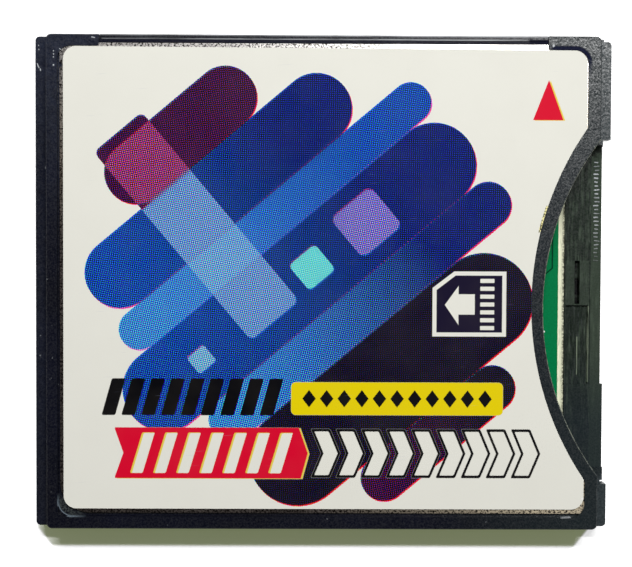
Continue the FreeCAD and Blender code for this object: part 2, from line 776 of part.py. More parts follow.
def build_fork_contacts(label, row, reach):
    """A row of forked contacts whose stems bend down to feet on the board."""
    body = new_body(label)
    level = row_level(row)
    tip = f"({FRONT} - fork_inset)"
    base = f"({CONNECTOR_REAR} + socket_rear_wall + fork_end_gap)"
    root = f"({base} + 2 * fork_thickness)"
    inner = "(fork_gap / 2)"
    outer = "(fork_gap / 2 + fork_thickness)"
    half_stem = "(stem_thickness / 2)"
    leg_front = f"({CONNECTOR_REAR} - {reach})"
    leg_back = f"({leg_front} - stem_thickness)"
    foot_back = f"({leg_back} - foot_length)"
    sketch = new_sketch(body, "along", f"({first_column()} - contact_width / 2)")
    outline(sketch, [
        (tip, f"({level} + {inner})"),
        (tip, f"({level} + {outer})"),
        (base, f"({level} + {outer})"),
        (base, f"({level} + {half_stem})"),
        (leg_back, f"({level} + {half_stem})"),
        (leg_back, f"({BOARD_TOP} + stem_thickness)"),
        (foot_back, f"({BOARD_TOP} + stem_thickness)"),
        (foot_back, BOARD_TOP),
        (leg_front, BOARD_TOP),
        (leg_front, f"({level} - {half_stem})"),
        (base, f"({level} - {half_stem})"),
        (base, f"({level} - {outer})"),
        (tip, f"({level} - {outer})"),
        (tip, f"({level} - {inner})"),
        (root, f"({level} - {inner})"),
        (root, f"({level} + {inner})"),
    ])
    contact = pad(body, sketch, "contact_width")
    repeat(body, [contact], "X_Axis", "pin_pitch", "pin_columns")
    return body


def contact_row_start():
    return f"({SLOT_REAR} + slot_side_gap + end_contact_margin)"


def build_card_contacts():
    """Spring strips that reach under the smaller card's contact pads."""
    body = new_body("small_card_contacts")
    low = f"({BOARD_TOP} + strip_height)"
    high = f"({low} + strip_thickness)"
    tail_end = f"({CARRIER_LEFT} - tail_length)"
    step = f"({CARRIER_LEFT} - strip_thickness)"
    start = f"({CARD_STOP} + arm_start)"
    crest = f"({CARD_STOP} + arm_crest)"
    tip = f"({CARD_STOP} + arm_tip)"
    crest_low = f"({BOARD_TOP} + crest_height - strip_thickness)"
    tip_low = f"({BOARD_TOP} + tip_height - strip_thickness)"
    sketch = new_sketch(body, "across", f"({contact_row_start()} + card_contact_width / 2)")
    outline(sketch, [
        (tail_end, BOARD_TOP),
        (f"({step} + strip_thickness)", BOARD_TOP),
        (f"({step} + strip_thickness)", low),
        (start, low),
        (crest, crest_low),
        (tip, tip_low),
        (tip, f"({tip_low} + strip_thickness)"),
        (crest, f"({crest_low} + strip_thickness)"),
        (start, high),
        (step, high),
        (step, f"({BOARD_TOP} + strip_thickness)"),
        (tail_end, f"({BOARD_TOP} + strip_thickness)"),
    ])
    strip = pad(body, sketch, "card_contact_width")
    repeat(body, [strip], "Y_Axis", CARD_CONTACT_PITCH, "card_contacts")
    return body


def post_places():
    middle = f"({CARD_STOP} - carrier_width / 2)"
    return [
        (middle, f"({SLOT_FRONT} - post_inset)"),
        (middle, f"({SLOT_REAR} + post_inset)"),
    ]


def switch_line():
    return f"({SLOT_REAR} - switch_line_gap)"


def build_carrier(strips):
    """Plastic carrier: contact bar, card stop, corner key, switch block and two posts."""
    body = new_body("carrier_moulding")
    top = f"({ROOF} - fit_gap)"
    pad_box(body, (CARRIER_LEFT, SLOT_REAR, BOARD_TOP), (CARD_STOP, SLOT_FRONT, top))
    key = new_sketch(body, "flat", SLOT_FLOOR)
    outline(key, [
        (CARD_STOP, SLOT_FRONT),
        (CARD_STOP, f"({SLOT_FRONT} - key_side)"),
        (f"({CARD_STOP} + key_side)", SLOT_FRONT),
    ])
    pad(body, key, f"{top} - {SLOT_FLOOR}")
    pad_box(
        body,
        (CARRIER_LEFT, f"({REAR_SHELF} + fit_gap)", BOARD_TOP),
        (SWITCH_BLOCK_RIGHT, SLOT_REAR, f"({BOARD_TOP} + switch_block_height)"),
    )
    groove = new_sketch(body, "across", f"({contact_row_start()} + card_contact_width / 2 + fit_gap)")
    box_outline(
        groove,
        f"({CARRIER_LEFT} - cut_margin)",
        f"({CARD_STOP} + key_side + cut_margin)",
        f"({BOARD_TOP} - cut_margin)",
        f"({BOARD_TOP} + groove_height)",
    )
    grooves = pocket(body, groove, "card_contact_width + 2 * fit_gap", back=True)
    repeat(body, [grooves], "Y_Axis", CARD_CONTACT_PITCH, "card_contacts")
    posts = new_sketch(body, "flat", BOARD_BOTTOM)
    for x, y in post_places():
        circle(posts, x, y, "post_radius")
    pad(body, posts, "board_thickness")
    return cut_away("contact_carrier", body, strips)


def build_switch_spring(label, number, reach):
    """A leaf held in the carrier, with a bump that stands out into the slot."""
    body = new_body(label)
    low = f"({BOARD_TOP} + switch_level + {number} * switch_level_step)"
    line = switch_line()
    anchor = f"({SWITCH_BLOCK_RIGHT} - switch_anchor)"
    tip = f"({anchor} + {reach})"
    bump = f"({tip} - switch_bump_length)"
    sketch = new_sketch(body, "flat", low)
    outline(sketch, [
        (anchor, line),
        (f"({bump} - switch_bump_length)", line),
        (bump, f"({line} + switch_bump)"),
        (tip, line),
        (tip, f"({line} + switch_thickness)"),
        (bump, f"({line} + switch_bump + switch_thickness)"),
        (f"({bump} - switch_bump_length)", f"({line} + switch_thickness)"),
        (anchor, f"({line} + switch_thickness)"),
    ])
    pad(body, sketch, "switch_height")
    return body


def build_switch_anvil(label, number, reach):
    """The fixed strip that the leaf touches when the card pushes it back."""
    body = new_body(label)
    low = f"({BOARD_TOP} + switch_level + {number} * switch_level_step)"
    line = f"({switch_line()} - switch_anvil_gap)"
    anchor = f"({SWITCH_BLOCK_RIGHT} - switch_anchor)"
    pad_box(
        body,
        (anchor, line, low),
        (f"({anchor} + {reach})", f"({line} + switch_thickness)", f"({low} + switch_height)"),
    )
    return body


def chip_middle():
    return f"({SLOT_MIDDLE} + chip_offset)"


def build_terminals():
    """The controller's flat terminals, a row on each side."""
    body = new_body("controller_terminals")
    half = "(chip_side / 2)"
    row = "((terminals_per_side - 1) * terminal_pitch / 2)"
    high = f"({BOARD_TOP} + terminal_height)"
    for side in (-1, 1):
        outer = f"({side} * {half})"
        inner = f"({side} * ({half} - terminal_length))"
        edges = (outer, inner) if side < 0 else (inner, outer)
        near = f"({CHIP_X} + {edges[0]})"
        far = f"({CHIP_X} + {edges[1]})"
        start = f"({chip_middle()} - {row} - terminal_width / 2)"
        terminal = pad_box(body, (near, start, BOARD_TOP), (far, f"({start} + terminal_width)", high))
        repeat(body, [terminal], "Y_Axis", "terminal_pitch", "terminals_per_side")
        near = f"({chip_middle()} + {edges[0]})"
        far = f"({chip_middle()} + {edges[1]})"
        start = f"({CHIP_X} - {row} - terminal_width / 2)"
        terminal = pad_box(body, (start, near, BOARD_TOP), (f"({start} + terminal_width)", far, high))
        repeat(body, [terminal], "X_Axis", "terminal_pitch", "terminals_per_side")
    return body


def solid_box(label, middle_x, middle_y, bottom, length, width, height):
    """A plain block centred in plan on a place."""
    box = doc.addObject("Part::Box", label)
    box.Label = label
    box.setExpression("Length", bound(length))
    box.setExpression("Width", bound(width))
    box.setExpression("Height", bound(height))
    box.setExpression("Placement.Base.x", bound(f"{middle_x} - {length} / 2"))
    box.setExpression("Placement.Base.y", bound(f"{middle_y} - {width} / 2"))
    box.setExpression("Placement.Base.z", bound(bottom))
    doc.recompute()
    return box


def build_controller(terminals):
    block = solid_box(
        "controller_block",
        CHIP_X,
        chip_middle(),
        f"({BOARD_TOP} + chip_standoff)",
        "chip_side",
        "chip_side",
        "chip_height",
    )
    return cut_away("controller_chip", block, [terminals])


def regulator_middle():
    return f"({chip_middle()} + regulator_offset)"


def build_regulator():
    """The voltage regulator's block, with its side tapered to the parting line."""
    body = new_body("voltage_regulator")
    low = f"({BOARD_TOP} + lead_thickness / 2)"
    pad_box(
        body,
        (f"({CHIP_X} - regulator_width / 2)", f"({regulator_middle()} - regulator_length / 2)", low),
        (
            f"({CHIP_X} + regulator_width / 2)",
            f"({regulator_middle()} + regulator_length / 2)",
            f"({low} + regulator_height)",
        ),
    )
    return body


def build_regulator_leads():
    """Three leads on one side and two on the other, bent down to the board."""
    body = new_body("regulator_leads")
    knee = f"({BOARD_TOP} + regulator_height / 2)"
    for side, count, pitch in ((-1, "3", "lead_pitch"), (1, "2", "(2 * lead_pitch)")):
        root = f"({CHIP_X} + {side} * regulator_width / 2)"
        heel = f"({root} + {side} * lead_reach / 2)"
        outer = f"({heel} + {side} * lead_thickness)"
        toe = f"({root} + {side} * (lead_reach + lead_thickness))"
        front = f"({regulator_middle()} - lead_pitch + lead_width / 2)"
        sketch = new_sketch(body, "across", front)
        outline(sketch, [
            (root, knee),
            (root, f"({knee} + lead_thickness)"),
            (outer, f"({knee} + lead_thickness)"),
            (outer, f"({BOARD_TOP} + lead_thickness)"),
            (toe, f"({BOARD_TOP} + lead_thickness)"),
            (toe, BOARD_TOP),
            (heel, BOARD_TOP),
            (heel, knee),
        ])
        lead = pad(body, sketch, "lead_width")
        repeat(body, [lead], "Y_Axis", pitch, count)
    return body


def build_chips(label, kind):
    """A column of like small parts: four in front of the controller and two behind it."""
    body = new_body(label)
    for group, count in (("front_group", 4), ("rear_group", 2)):
        middle_x = f"({CHIP_X} + {kind}_column)"
        middle_y = f"({chip_middle()} + {group})"
        part = pad_box(
            body,
            (f"({middle_x} - {kind}_length / 2)", f"({middle_y} - {kind}_width / 2)", BOARD_TOP),
            (
                f"({middle_x} + {kind}_length / 2)",
                f"({middle_y} + {kind}_width / 2)",
                f"({BOARD_TOP} + {kind}_height)",
            ),
        )
        repeat(body, [part], "Y_Axis", f"(2 * {kind}_width)", str(count))
    return body


def check(pieces):
    """Stops on anything that failed, before any file is written."""
    for thing in doc.Objects:
        if "Invalid" in thing.State or "Error" in thing.State:
            raise RuntimeError(f"{thing.Label} failed: {thing.State}")
    for piece in pieces:
        if piece.Shape.isNull() or not piece.Shape.isValid() or not piece.Shape.Solids:
            raise RuntimeError(f"{piece.Label} has no sound shape")


def main():
    top_cover = build_top_cover()
    bottom_cover = build_bottom_cover()
    detect_spring = build_switch_spring("card_detect_spring", 0, "detect_length")
    detect_anvil = build_switch_anvil("card_detect_contact", 0, "detect_length")
    protect_spring = build_switch_spring("write_protect_spring", 1, "protect_length")
    protect_anvil = build_switch_anvil("write_protect_contact", 1, "protect_length")
    strips = [detect_spring, detect_anvil, protect_spring, protect_anvil]
    terminals = build_terminals()
    pieces = [
        build_upper_frame(top_cover),
        build_lower_frame(bottom_cover),
        top_cover,
        bottom_cover,
        build_label(),
        build_film(),
        build_board(),
        build_connector(),
        build_fork_contacts("upper_fork_contacts", 1, UPPER_TAIL_REACH),
        build_fork_contacts("lower_fork_contacts", -1, "lower_tail_reach"),
        build_carrier(strips),
        build_card_contacts(),
        *strips,
        terminals,
        build_controller(terminals),
        build_regulator(),
        build_regulator_leads(),
        solid_box(
            "crystal",
            CHIP_X,
            f"({chip_middle()} + crystal_offset)",
            BOARD_TOP,
            "crystal_width",
            "crystal_length",
            "crystal_height",
        ),
        build_chips("capacitors", "capacitor"),
        build_chips("resistors", "resistor"),
    ]
    check(pieces)
    os.makedirs("parts", exist_ok=True)
    for piece in pieces:
        piece.Shape.exportStep(f"parts/{piece.Label}.step")
        box = piece.Shape.BoundBox
        print(f"{piece.Label}: {len(piece.Shape.Solids)} solids, volume {piece.Shape.Volume:.3f},",
              f"x {box.XMin:.2f} to {box.XMax:.2f}, y {box.YMin:.2f} to {box.YMax:.2f},",
              f"z {box.ZMin:.2f} to {box.ZMax:.2f}")


main()
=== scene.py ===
"""Gives a packed memory card adapter its finishes, printed label, fine moulding and studio."""

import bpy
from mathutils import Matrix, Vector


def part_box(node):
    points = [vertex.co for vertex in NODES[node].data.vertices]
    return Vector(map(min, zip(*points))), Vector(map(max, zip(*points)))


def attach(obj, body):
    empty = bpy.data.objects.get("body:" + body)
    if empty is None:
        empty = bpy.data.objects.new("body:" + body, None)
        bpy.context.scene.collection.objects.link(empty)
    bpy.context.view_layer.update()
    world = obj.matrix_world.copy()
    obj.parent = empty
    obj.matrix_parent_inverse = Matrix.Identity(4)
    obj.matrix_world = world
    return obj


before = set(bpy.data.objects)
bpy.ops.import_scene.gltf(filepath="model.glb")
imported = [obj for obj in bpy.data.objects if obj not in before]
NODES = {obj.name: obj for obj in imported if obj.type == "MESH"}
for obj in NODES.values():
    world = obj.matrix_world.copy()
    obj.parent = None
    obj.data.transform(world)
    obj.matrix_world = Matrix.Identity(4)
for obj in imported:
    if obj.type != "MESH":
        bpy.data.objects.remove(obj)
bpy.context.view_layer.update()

import math
import random

import bmesh
import bpy
from bpy.props import FloatProperty, FloatVectorProperty, IntProperty, PointerProperty
from bpy.types import Operator, Panel, PropertyGroup
from mathutils import Matrix

bl_info = {
    "name": "Memory card adapter finishes",
    "version": (1, 0, 0),
    "blender": (4, 5, 0),
    "location": "3D View > Sidebar > Adapter",
    "description": "Finishes, label print, fine moulding and studio for a memory card adapter",
    "category": "Object",
}

MM = 0.001
OFF_WHITE = (0.9, 0.9, 0.88)


def linear(red, green, blue):
    """A colour of 0 to 255 as it is seen, as the linear light that shaders take."""
    def decoded(value):
        part = value / 255
        return part / 12.92 if part <= 0.04045 else ((part + 0.055) / 1.055) ** 2.4
    return decoded(red), decoded(green), decoded(blue)


def colour(name, description, red, green, blue):
    return FloatVectorProperty(
        name=name, description=description, subtype="COLOR", size=3, min=0, max=1,
        default=linear(red, green, blue))


def number(name, description, value, **kind):
    return FloatProperty(name=name, description=description, default=value, **kind)


def length(name, description, millimetres):
    return number(name, description, millimetres * MM, subtype="DISTANCE", unit="LENGTH",
                  min=0, precision=5)


def share(name, description, value):
    return number(name, description, value, subtype="FACTOR", min=0, max=1)


def power(name, description, watts):
    return number(name, description, watts, subtype="POWER", unit="POWER", min=0)


class MouldingSettings(PropertyGroup):
    frame_colour: colour("Frame", "Blue black of the two outer frames", 9, 11, 24)
    # Painted sheen: the frames are drawn greyer towards the right, where the light falls on
    # them.
    frame_sheen_grey: colour("Frame, worn", "Frames where handling greyed them", 30, 38, 40)
    # Painted reflection: a lighter bluish tone on the upper left and the left rail, as the
    # plastic would mirror the room.
    reflection_blue: colour("Haze", "Haze on the left rail and its corner", 44, 49, 64)
    # Painted sheen: the tabs' grain is drawn as light speckles where it would catch the light.
    tab_sheen: colour("Tabs", "Speckles on the tabs beside the slot", 58, 66, 69)
    # Painted reflection: the jaw's black is lifted and tinted green, as it would mirror the
    # board.
    jaw_green_reflection: colour("Jaw", "Greenish black inside the slot", 28, 36, 30)
    # Painted sheen: lighter streaks along the jaw, and the same lighter tone on its pad and its
    # lead-in slope.
    jaw_sheen: colour("Jaw streaks", "Streaks along the jaw", 71, 83, 70)
    # Painted highlights: two light lines along the jaw, on a ridge and on the recess's wall
    # edge.
    jaw_highlight: colour("Jaw scratches", "Two scratches along the jaw", 132, 144, 122)
    # Painted shade: the jaw turns darker and bluer towards its lower end.
    jaw_lower_shade: colour("Jaw, front", "Bluer black of the jaw's front end", 30, 38, 44)
    # Painted shade: the narrow slot is drawn near black, for the dark of its depth.
    jaw_slot_shade: colour("Jaw slot", "Narrow slot in the jaw", 2, 2, 3)
    # Painted highlights: lighter edges and streaks where the light would catch them.
    sheen_grey: colour("Rubbed edge", "Edges rubbed by handling", 80, 84, 86)
    # Painted shade: a dark band round the label's top right corner, where the frame would slope
    # away from the light.
    corner_shade: colour("Groove", "Groove at the label's top right corner", 18, 22, 46)
    # Painted highlight: a light line along the opening's lip at the label's bottom left corner.
    lip_highlight_colour: colour("Lip", "Lip at the label's bottom left corner", 106, 118, 128)
    seat_colour: colour("Seat", "Speckles between that lip and the label", 66, 72, 70)
    # Painted highlight: a broken light line along the notch's edge.
    notch_highlight_colour: colour("Notch edge", "Light line along the notch's edge", 136, 140, 126)
    connector_colour: colour("Connector", "Black of the socket block", 16, 17, 26)
    connector_dark: colour("Connector, low", "Lower strip of the socket block", 14, 16, 34)
    carrier_colour: colour("Carrier", "Black of the contact carrier", 30, 30, 32)
    chip_colour: colour("Chip", "Black of the moulded chips", 28, 28, 31)
    # Real dust specks and scuffs, and also painted highlights on the rib crests, the socket's
    # lip and a few glints.
    dust_and_highlight: colour("Dust", "Scuffs and dust on the mouldings", 186, 190, 194)
    grain_pitch: length("Grain", "Width of one moulded grain", 0.15)
    grain_depth: length("Grain depth", "Depth of the moulded texture", 0.01)


class MetalSettings(PropertyGroup):
    steel_colour: colour("Steel", "Sheet steel of the upper cover", 142, 132, 126)
    # Painted reflections: the upper cover's rim is drawn bright at the top and warmer lower
    # down, where it would mirror the light.
    steel_highlight: colour("Bright steel", "Steel polished at the rim", 236, 232, 228)
    steel_warm_highlight: colour("Warm steel", "Polished steel at the front", 248, 232, 200)
    steel_dark: colour("Steel pits", "Dark grains in the steel", 40, 33, 32)
    steel_plain: colour("Lower cover", "Steel of the lower cover", 178, 178, 176)
    steel_plain_dark: colour("Lower cover grain", "Grains in that steel", 138, 138, 138)
    gold_colour: colour("Gold", "Plating of the contacts", 222, 178, 92)
    tin_colour: colour("Tin", "Tinned leads", 205, 206, 208)
    crystal_colour: colour("Crystal can", "Drawn can of the crystal", 196, 190, 176)
    capacitor_colour: colour("Capacitors", "Fired body of the capacitors", 176, 148, 116)
    resistor_colour: colour("Resistors", "Coated body of the resistors", 34, 34, 38)
    steel_grain: length("Steel grain", "Width of one grain of the steel", 0.16)


class PrintSettings(PropertyGroup):
    paper: colour("Ground", "Unprinted film of the label", 233, 232, 222)
    plum: colour("Plum", "Dark purple ink", 70, 14, 70)
    navy: colour("Navy", "Darkest blue ink", 20, 13, 42)
    deep_blue: colour("Deep blue", "Deep blue ink", 10, 34, 118)
    blue: colour("Blue", "Clear blue ink", 18, 84, 164)
    sky: colour("Sky", "Light blue ink", 66, 146, 200)
    pale: colour("Pale blue", "Palest blue ink", 128, 172, 204)
    pink: colour("Pink", "Pink of the cross band", 170, 72, 132)
    lilac: colour("Lilac", "Lilac of the small square", 128, 120, 180)
    aqua: colour("Aqua", "Aqua of the small square", 112, 204, 206)
    red: colour("Red", "Red of the banner and the mark", 219, 5, 46)
    yellow: colour("Yellow", "Yellow of the plate", 246, 210, 0)
    amber: colour("Amber", "Yellow ink beside the red", 255, 210, 84)
    black: colour("Black", "Black ink", 3, 3, 8)
    aged: colour("Aged film", "Faint clouds of age on the label", 150, 140, 120)
    scratch: colour("Scratches", "Hair scratches in the label", 150, 160, 185)
    frayed: colour("Frayed edge", "Yellowed film of the frayed edge", 240, 232, 168)
    frayed_dark: colour("Frayed edge, dirt", "Dirt in the frayed edge", 60, 54, 34)
    cut_edge: colour("Cut edge", "The film's cut side", 214, 206, 180)
    band_angle: number("Band angle", "Rise of the printed bands", math.radians(40),
                       subtype="ANGLE", unit="ROTATION")
    screen_pitch: length("Screen pitch", "Distance between dots", 0.155)
    plate_shift: length("Plate shift", "How far the warm inks lie astray", 0.085)
    yellow_shift: length("Yellow shift", "How far yellow shows beside the red", 0.13)


class BoardSettings(PropertyGroup):
    mask: colour("Solder mask", "Green of the board", 0, 120, 68)
    groove: colour("Copper gap", "Green without copper beneath", 0, 52, 32)
    laminate: colour("Laminate", "Bare edge of the board", 248, 250, 218)
    film: colour("Film", "Insulating film under the board", 190, 128, 42)
    mask_edge: length("Mask edge", "Width of the bare edge at the slot", 0.44)
    track_pitch: length("Track pitch", "Distance between tracks", 0.635)
    track_width: length("Track width", "Width of one track", 0.2)


class DetailSettings(PropertyGroup):
    rib_count: IntProperty(
        name="Ribs", description="Ribs on the jaw's lead-in", min=2, default=26)
    rib_length: length("Rib length", "Length of one rib", 0.5)
    rib_width: length("Rib width", "Width of one rib", 0.12)
    rib_height: length("Rib height", "Height of one rib", 0.05)
    line_width: length("Line width", "Width of the line on the socket's lip", 0.1)
    line_height: length("Line height", "Height of that line", 0.04)


class StudioSettings(PropertyGroup):
    floor_colour: colour("Floor", "Pale floor", 246, 246, 243)
    sky_light: share("Ambient", "Brightness of the room's even light", 0.12)
    key_power: power("Key lamp", "Power of the strip lamp above", 0.62)
    key_width: length("Key width", "Width of the strip lamp above", 130)
    key_depth: length("Key depth", "Depth of the strip lamp above", 10)
    gloss_power: power("Gloss lamp", "Power of the panel that only reflects", 0.47)
    gloss_size: length("Gloss size", "Width of the reflecting panel", 40)
    # Painted light on the floor: its glow tints the shadow strip below the adapter and lifts the
    # floor beside and past the shadow.
    shadow_tint: colour("Shadow", "Faint colour of the floor at the edge", 82, 92, 42)
    shadow_rim: share("Floor, near", "Brightness that the floor adds", 0.22)
    shadow_end: share("Floor, ends", "Brightness past the shadow's ends", 0.6)
    lens: number("Lens", "Focal length for a 36 mm wide picture", 63.38, unit="CAMERA", min=1)


class Nodes:
    """Adds nodes to one tree and feeds their sockets with links or values."""

    def __init__(self, tree):
        self.tree = tree

    def feed(self, socket, value):
        if isinstance(value, bpy.types.NodeSocket):
            self.tree.links.new(value, socket)
            return
        socket.default_value = (*value, 1) if socket.type == "RGBA" else value

    def add(self, kind, *values, **settings):
        node = self.tree.nodes.new("ShaderNode" + kind)
        for name, value in settings.items():
            setattr(node, name, value)
        for socket, value in zip(node.inputs, values):
            self.feed(socket, value)
        return node

    def math(self, operation, *values, clamp=False):
        return self.add("Math", *values, operation=operation, use_clamp=clamp).outputs[0]

    def chain(self, operation, first, *others):
        for value in others:
            first = self.math(operation, first, value)
        return first

    def times(self, *values):
        return self.chain("MULTIPLY", *values)

    def plus(self, *values):
        return self.chain("ADD", *values)

    def minus(self, first, second):
        return self.math("SUBTRACT", first, second)

    def absolute(self, value):
        return self.math("ABSOLUTE", value)

    def most(self, *values):
        return self.chain("MAXIMUM", *values)

    def vector(self, operation, *values):
        node = self.add("VectorMath", *values, operation=operation)
        return node.outputs["Value" if operation in ("LENGTH", "DOT_PRODUCT") else "Vector"]

    def scaled(self, vector, factor):
        node = self.add("VectorMath", vector, operation="SCALE")
        self.feed(node.inputs["Scale"], factor)
        return node.outputs["Vector"]

    def split(self, vector):
        return self.add("SeparateXYZ", vector).outputs

    def joined(self, x, y):
        return self.add("CombineXYZ", x, y).outputs[0]

    def local(self, place, centre, turn=0):
        """The place as seen from a centre, turned about Z."""
        return self.add(
            "Mapping", place, (*centre, 0), (0, 0, turn), vector_type="TEXTURE").outputs[0]

    def slope(self, value, low, high, start=0, end=1):
        """Goes from start to end as value goes from low to high."""
        return self.add("MapRange", value, low, high, start, end, clamp=True).outputs[0]

    def inside(self, value, low, high, soft=0.02):
        """1 where value lies between low and high, with soft ends."""
        return self.times(
            self.slope(value, low, low + soft), self.slope(value, high, high - soft))

    def mix(self, amount, first, second, blend="MIX"):
        node = self.add("Mix", data_type="RGBA", blend_type=blend)
        for index, value in ((0, amount), (6, first), (7, second)):
            self.feed(node.inputs[index], value)
        return node.outputs[2]

    def coats(self, body, *layers):
        """Lays coats over a colour, each of them an amount and a colour."""
        for amount, tone in layers:
            body = self.mix(amount, body, tone)
        return body

    def noise(self, place, scale, detail=2, roughness=0.5):
        """Noise with so many grains to the millimetre."""
        return self.add("TexNoise", place, 0, scale, detail, roughness).outputs["Fac"]

    def stretched(self, place, factors, scale=1, detail=2, roughness=0.5):
        """Noise drawn out along some axes."""
        return self.noise(self.vector("MULTIPLY", place, factors), scale, detail, roughness)

    # Signed distances in millimetres, below zero inside the shape.

    def rounded(self, place, half, radius):
        """Distance from a rectangle with round corners, centred on the place's zero."""
        core = (half[0] - radius, half[1] - radius, 0)
        beyond = self.vector("SUBTRACT", self.vector("ABSOLUTE", place), core)
        beyond = self.vector("MAXIMUM", beyond, (0, 0, 0))
        return self.minus(self.vector("LENGTH", beyond), radius)

    def bar(self, place, centre, half, radius, turn=0):
        return self.rounded(self.local(place, centre, turn), half, radius)

    def disc(self, place, centre, radius):
        away = self.vector("LENGTH", self.vector("SUBTRACT", place, (*centre, 0)))
        return self.minus(away, radius)

    def convex(self, place, corners):
        """Distance from a convex shape, its corners given anticlockwise."""
        sides = []
        for (x0, y0), (x1, y1) in zip(corners, corners[1:] + corners[:1]):
            run = math.hypot(x1 - x0, y1 - y0)
            outward = ((y1 - y0) / run, (x0 - x1) / run, 0)
            along = self.vector("DOT_PRODUCT", place, outward)
            sides.append(self.minus(along, x0 * outward[0] + y0 * outward[1]))
        return self.both(*sides)

    def both(self, *shapes):
        return self.chain("MAXIMUM", *shapes)

    def either(self, *shapes):
        return self.chain("MINIMUM", *shapes)

    def without(self, first, second):
        return self.both(first, self.times(second, -1))

    def cover(self, distance, soft=0.04):
        """1 inside a shape and 0 outside it, with an edge as wide as soft."""
        return self.math("ADD", self.math("DIVIDE", distance, -soft), 0.5, clamp=True)


class Finish(Nodes):
    """One material, drawn on the object's own coordinates in millimetres."""

    def __init__(self, name):
        self.material = bpy.data.materials.new(name)
        self.material.use_nodes = True
        super().__init__(self.material.node_tree)
        self.shader = self.tree.nodes["Principled BSDF"]
        found = self.add("TexCoord").outputs
        self.place = self.scaled(found["Object"], 1 / MM)
        self.normal = found["Normal"]
        self.x, self.y, self.z = self.split(self.place)
        self.flat = self.joined(self.x, self.y)

    def set(self, **values):
        for name, value in values.items():
            self.feed(self.shader.inputs[name.replace("_", " ")], value)

    def patches(self, scale, detail, roughness, low, high, start=0, end=1):
        """Noise over the whole object that goes from start to end."""
        noise = self.noise(self.place, scale, detail, roughness)
        return self.slope(noise, low, high, start, end)

    def raised(self, height, depth):
        """Bumps the surface by a height of 0 to 1 times a depth in metres."""
        node = self.add("Bump")
        self.feed(node.inputs["Height"], height)
        self.feed(node.inputs["Distance"], depth)
        self.feed(self.shader.inputs["Normal"], node.outputs[0])

    def dress(self, *names):
        """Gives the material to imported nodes."""
        for name in names:
            slots = NODES[name].data.materials
            slots.clear()
            slots.append(self.material)


def darker(tone, factor):
    return tuple(value * factor for value in tone)


def moulded(s, name, tone, grain_share=1, depth_share=1, gloss=0.33, wear=1, marks=None):
    """Black plastic with the grain of its mould, faint flow marks, specks and its own marks.

    The marks give the colour, and how far they smooth the grain and dull the shine.
    """
    made = Finish(name)
    grain = s.grain_pitch / MM * grain_share
    fine = made.noise(made.place, 1 / grain, 2, 0.55)
    flow = made.patches(0.22, 3, 0.55, 0.35, 0.65)
    specks = made.patches(2.6, 2, 0.6, 0.73, 0.77, 0, 0.3 * wear)
    body = made.coats(darker(tone, 0.75), (flow, darker(tone, 1.25)), (specks, s.dust_and_highlight))
    shine = made.patches(1.15 / grain, 3, 0.65, 0.38, 0.64, 0.08, 0.7)
    rough = made.slope(fine, 0.3, 0.7, gloss - 0.07, gloss + 0.1)
    height = fine
    if marks:
        body, smooth, dull = marks(made, body)
        shine = made.times(shine, made.slope(dull, 0, 1, 1, 0.12))
        rough = made.math("MULTIPLY_ADD", dull, 0.2, rough)
        height = made.times(fine, made.minus(1, smooth))
    made.set(Base_Color=body, Specular_IOR_Level=shine, Roughness=rough)
    made.raised(height, s.grain_depth * depth_share)
    return made


def grained(name, nodes, tone, shade, stretch, noise, span, rough, depth, metal=0):
    """A finish whose two tones, roughness and relief all follow one grain.

    The span holds the grain's values for the darker tone and for the plain one.
    """
    made = Finish(name)
    grain = made.stretched(made.place, stretch, *noise)
    made.set(Base_Color=made.mix(made.slope(grain, *span), darker(tone, shade), tone),
             Roughness=made.slope(grain, 0.3, 0.7, *rough), Metallic=metal)
    made.raised(grain, depth * MM)
    made.dress(*nodes)


def placed(context, name, form, material):
    """A finished mesh as an object of its own in the scene."""
    mesh = bpy.data.meshes.new(name)
    form.to_mesh(mesh)
    form.free()
    mesh.materials.append(material)
    made = bpy.data.objects.new(name, mesh)
    context.scene.collection.objects.link(made)
    return made


def piece(context, name, form, material):
    """A mesh as a named piece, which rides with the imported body."""
    made = placed(context, name, form, material)
    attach(made, "root")


def block(form, place, half, rounding):
    """Adds a block with rounded edges, given its matrix and half sizes in millimetres."""
    size = Matrix.Diagonal((*(side * MM for side in half), 1))
    made = bmesh.ops.create_cube(form, size=2, matrix=place @ size)
    edges = list({edge for corner in made["verts"] for edge in corner.link_edges})
    bmesh.ops.bevel(
        form, geom=edges, offset=rounding * MM, segments=2, profile=0.5, affect="EDGES",
        material=-1)


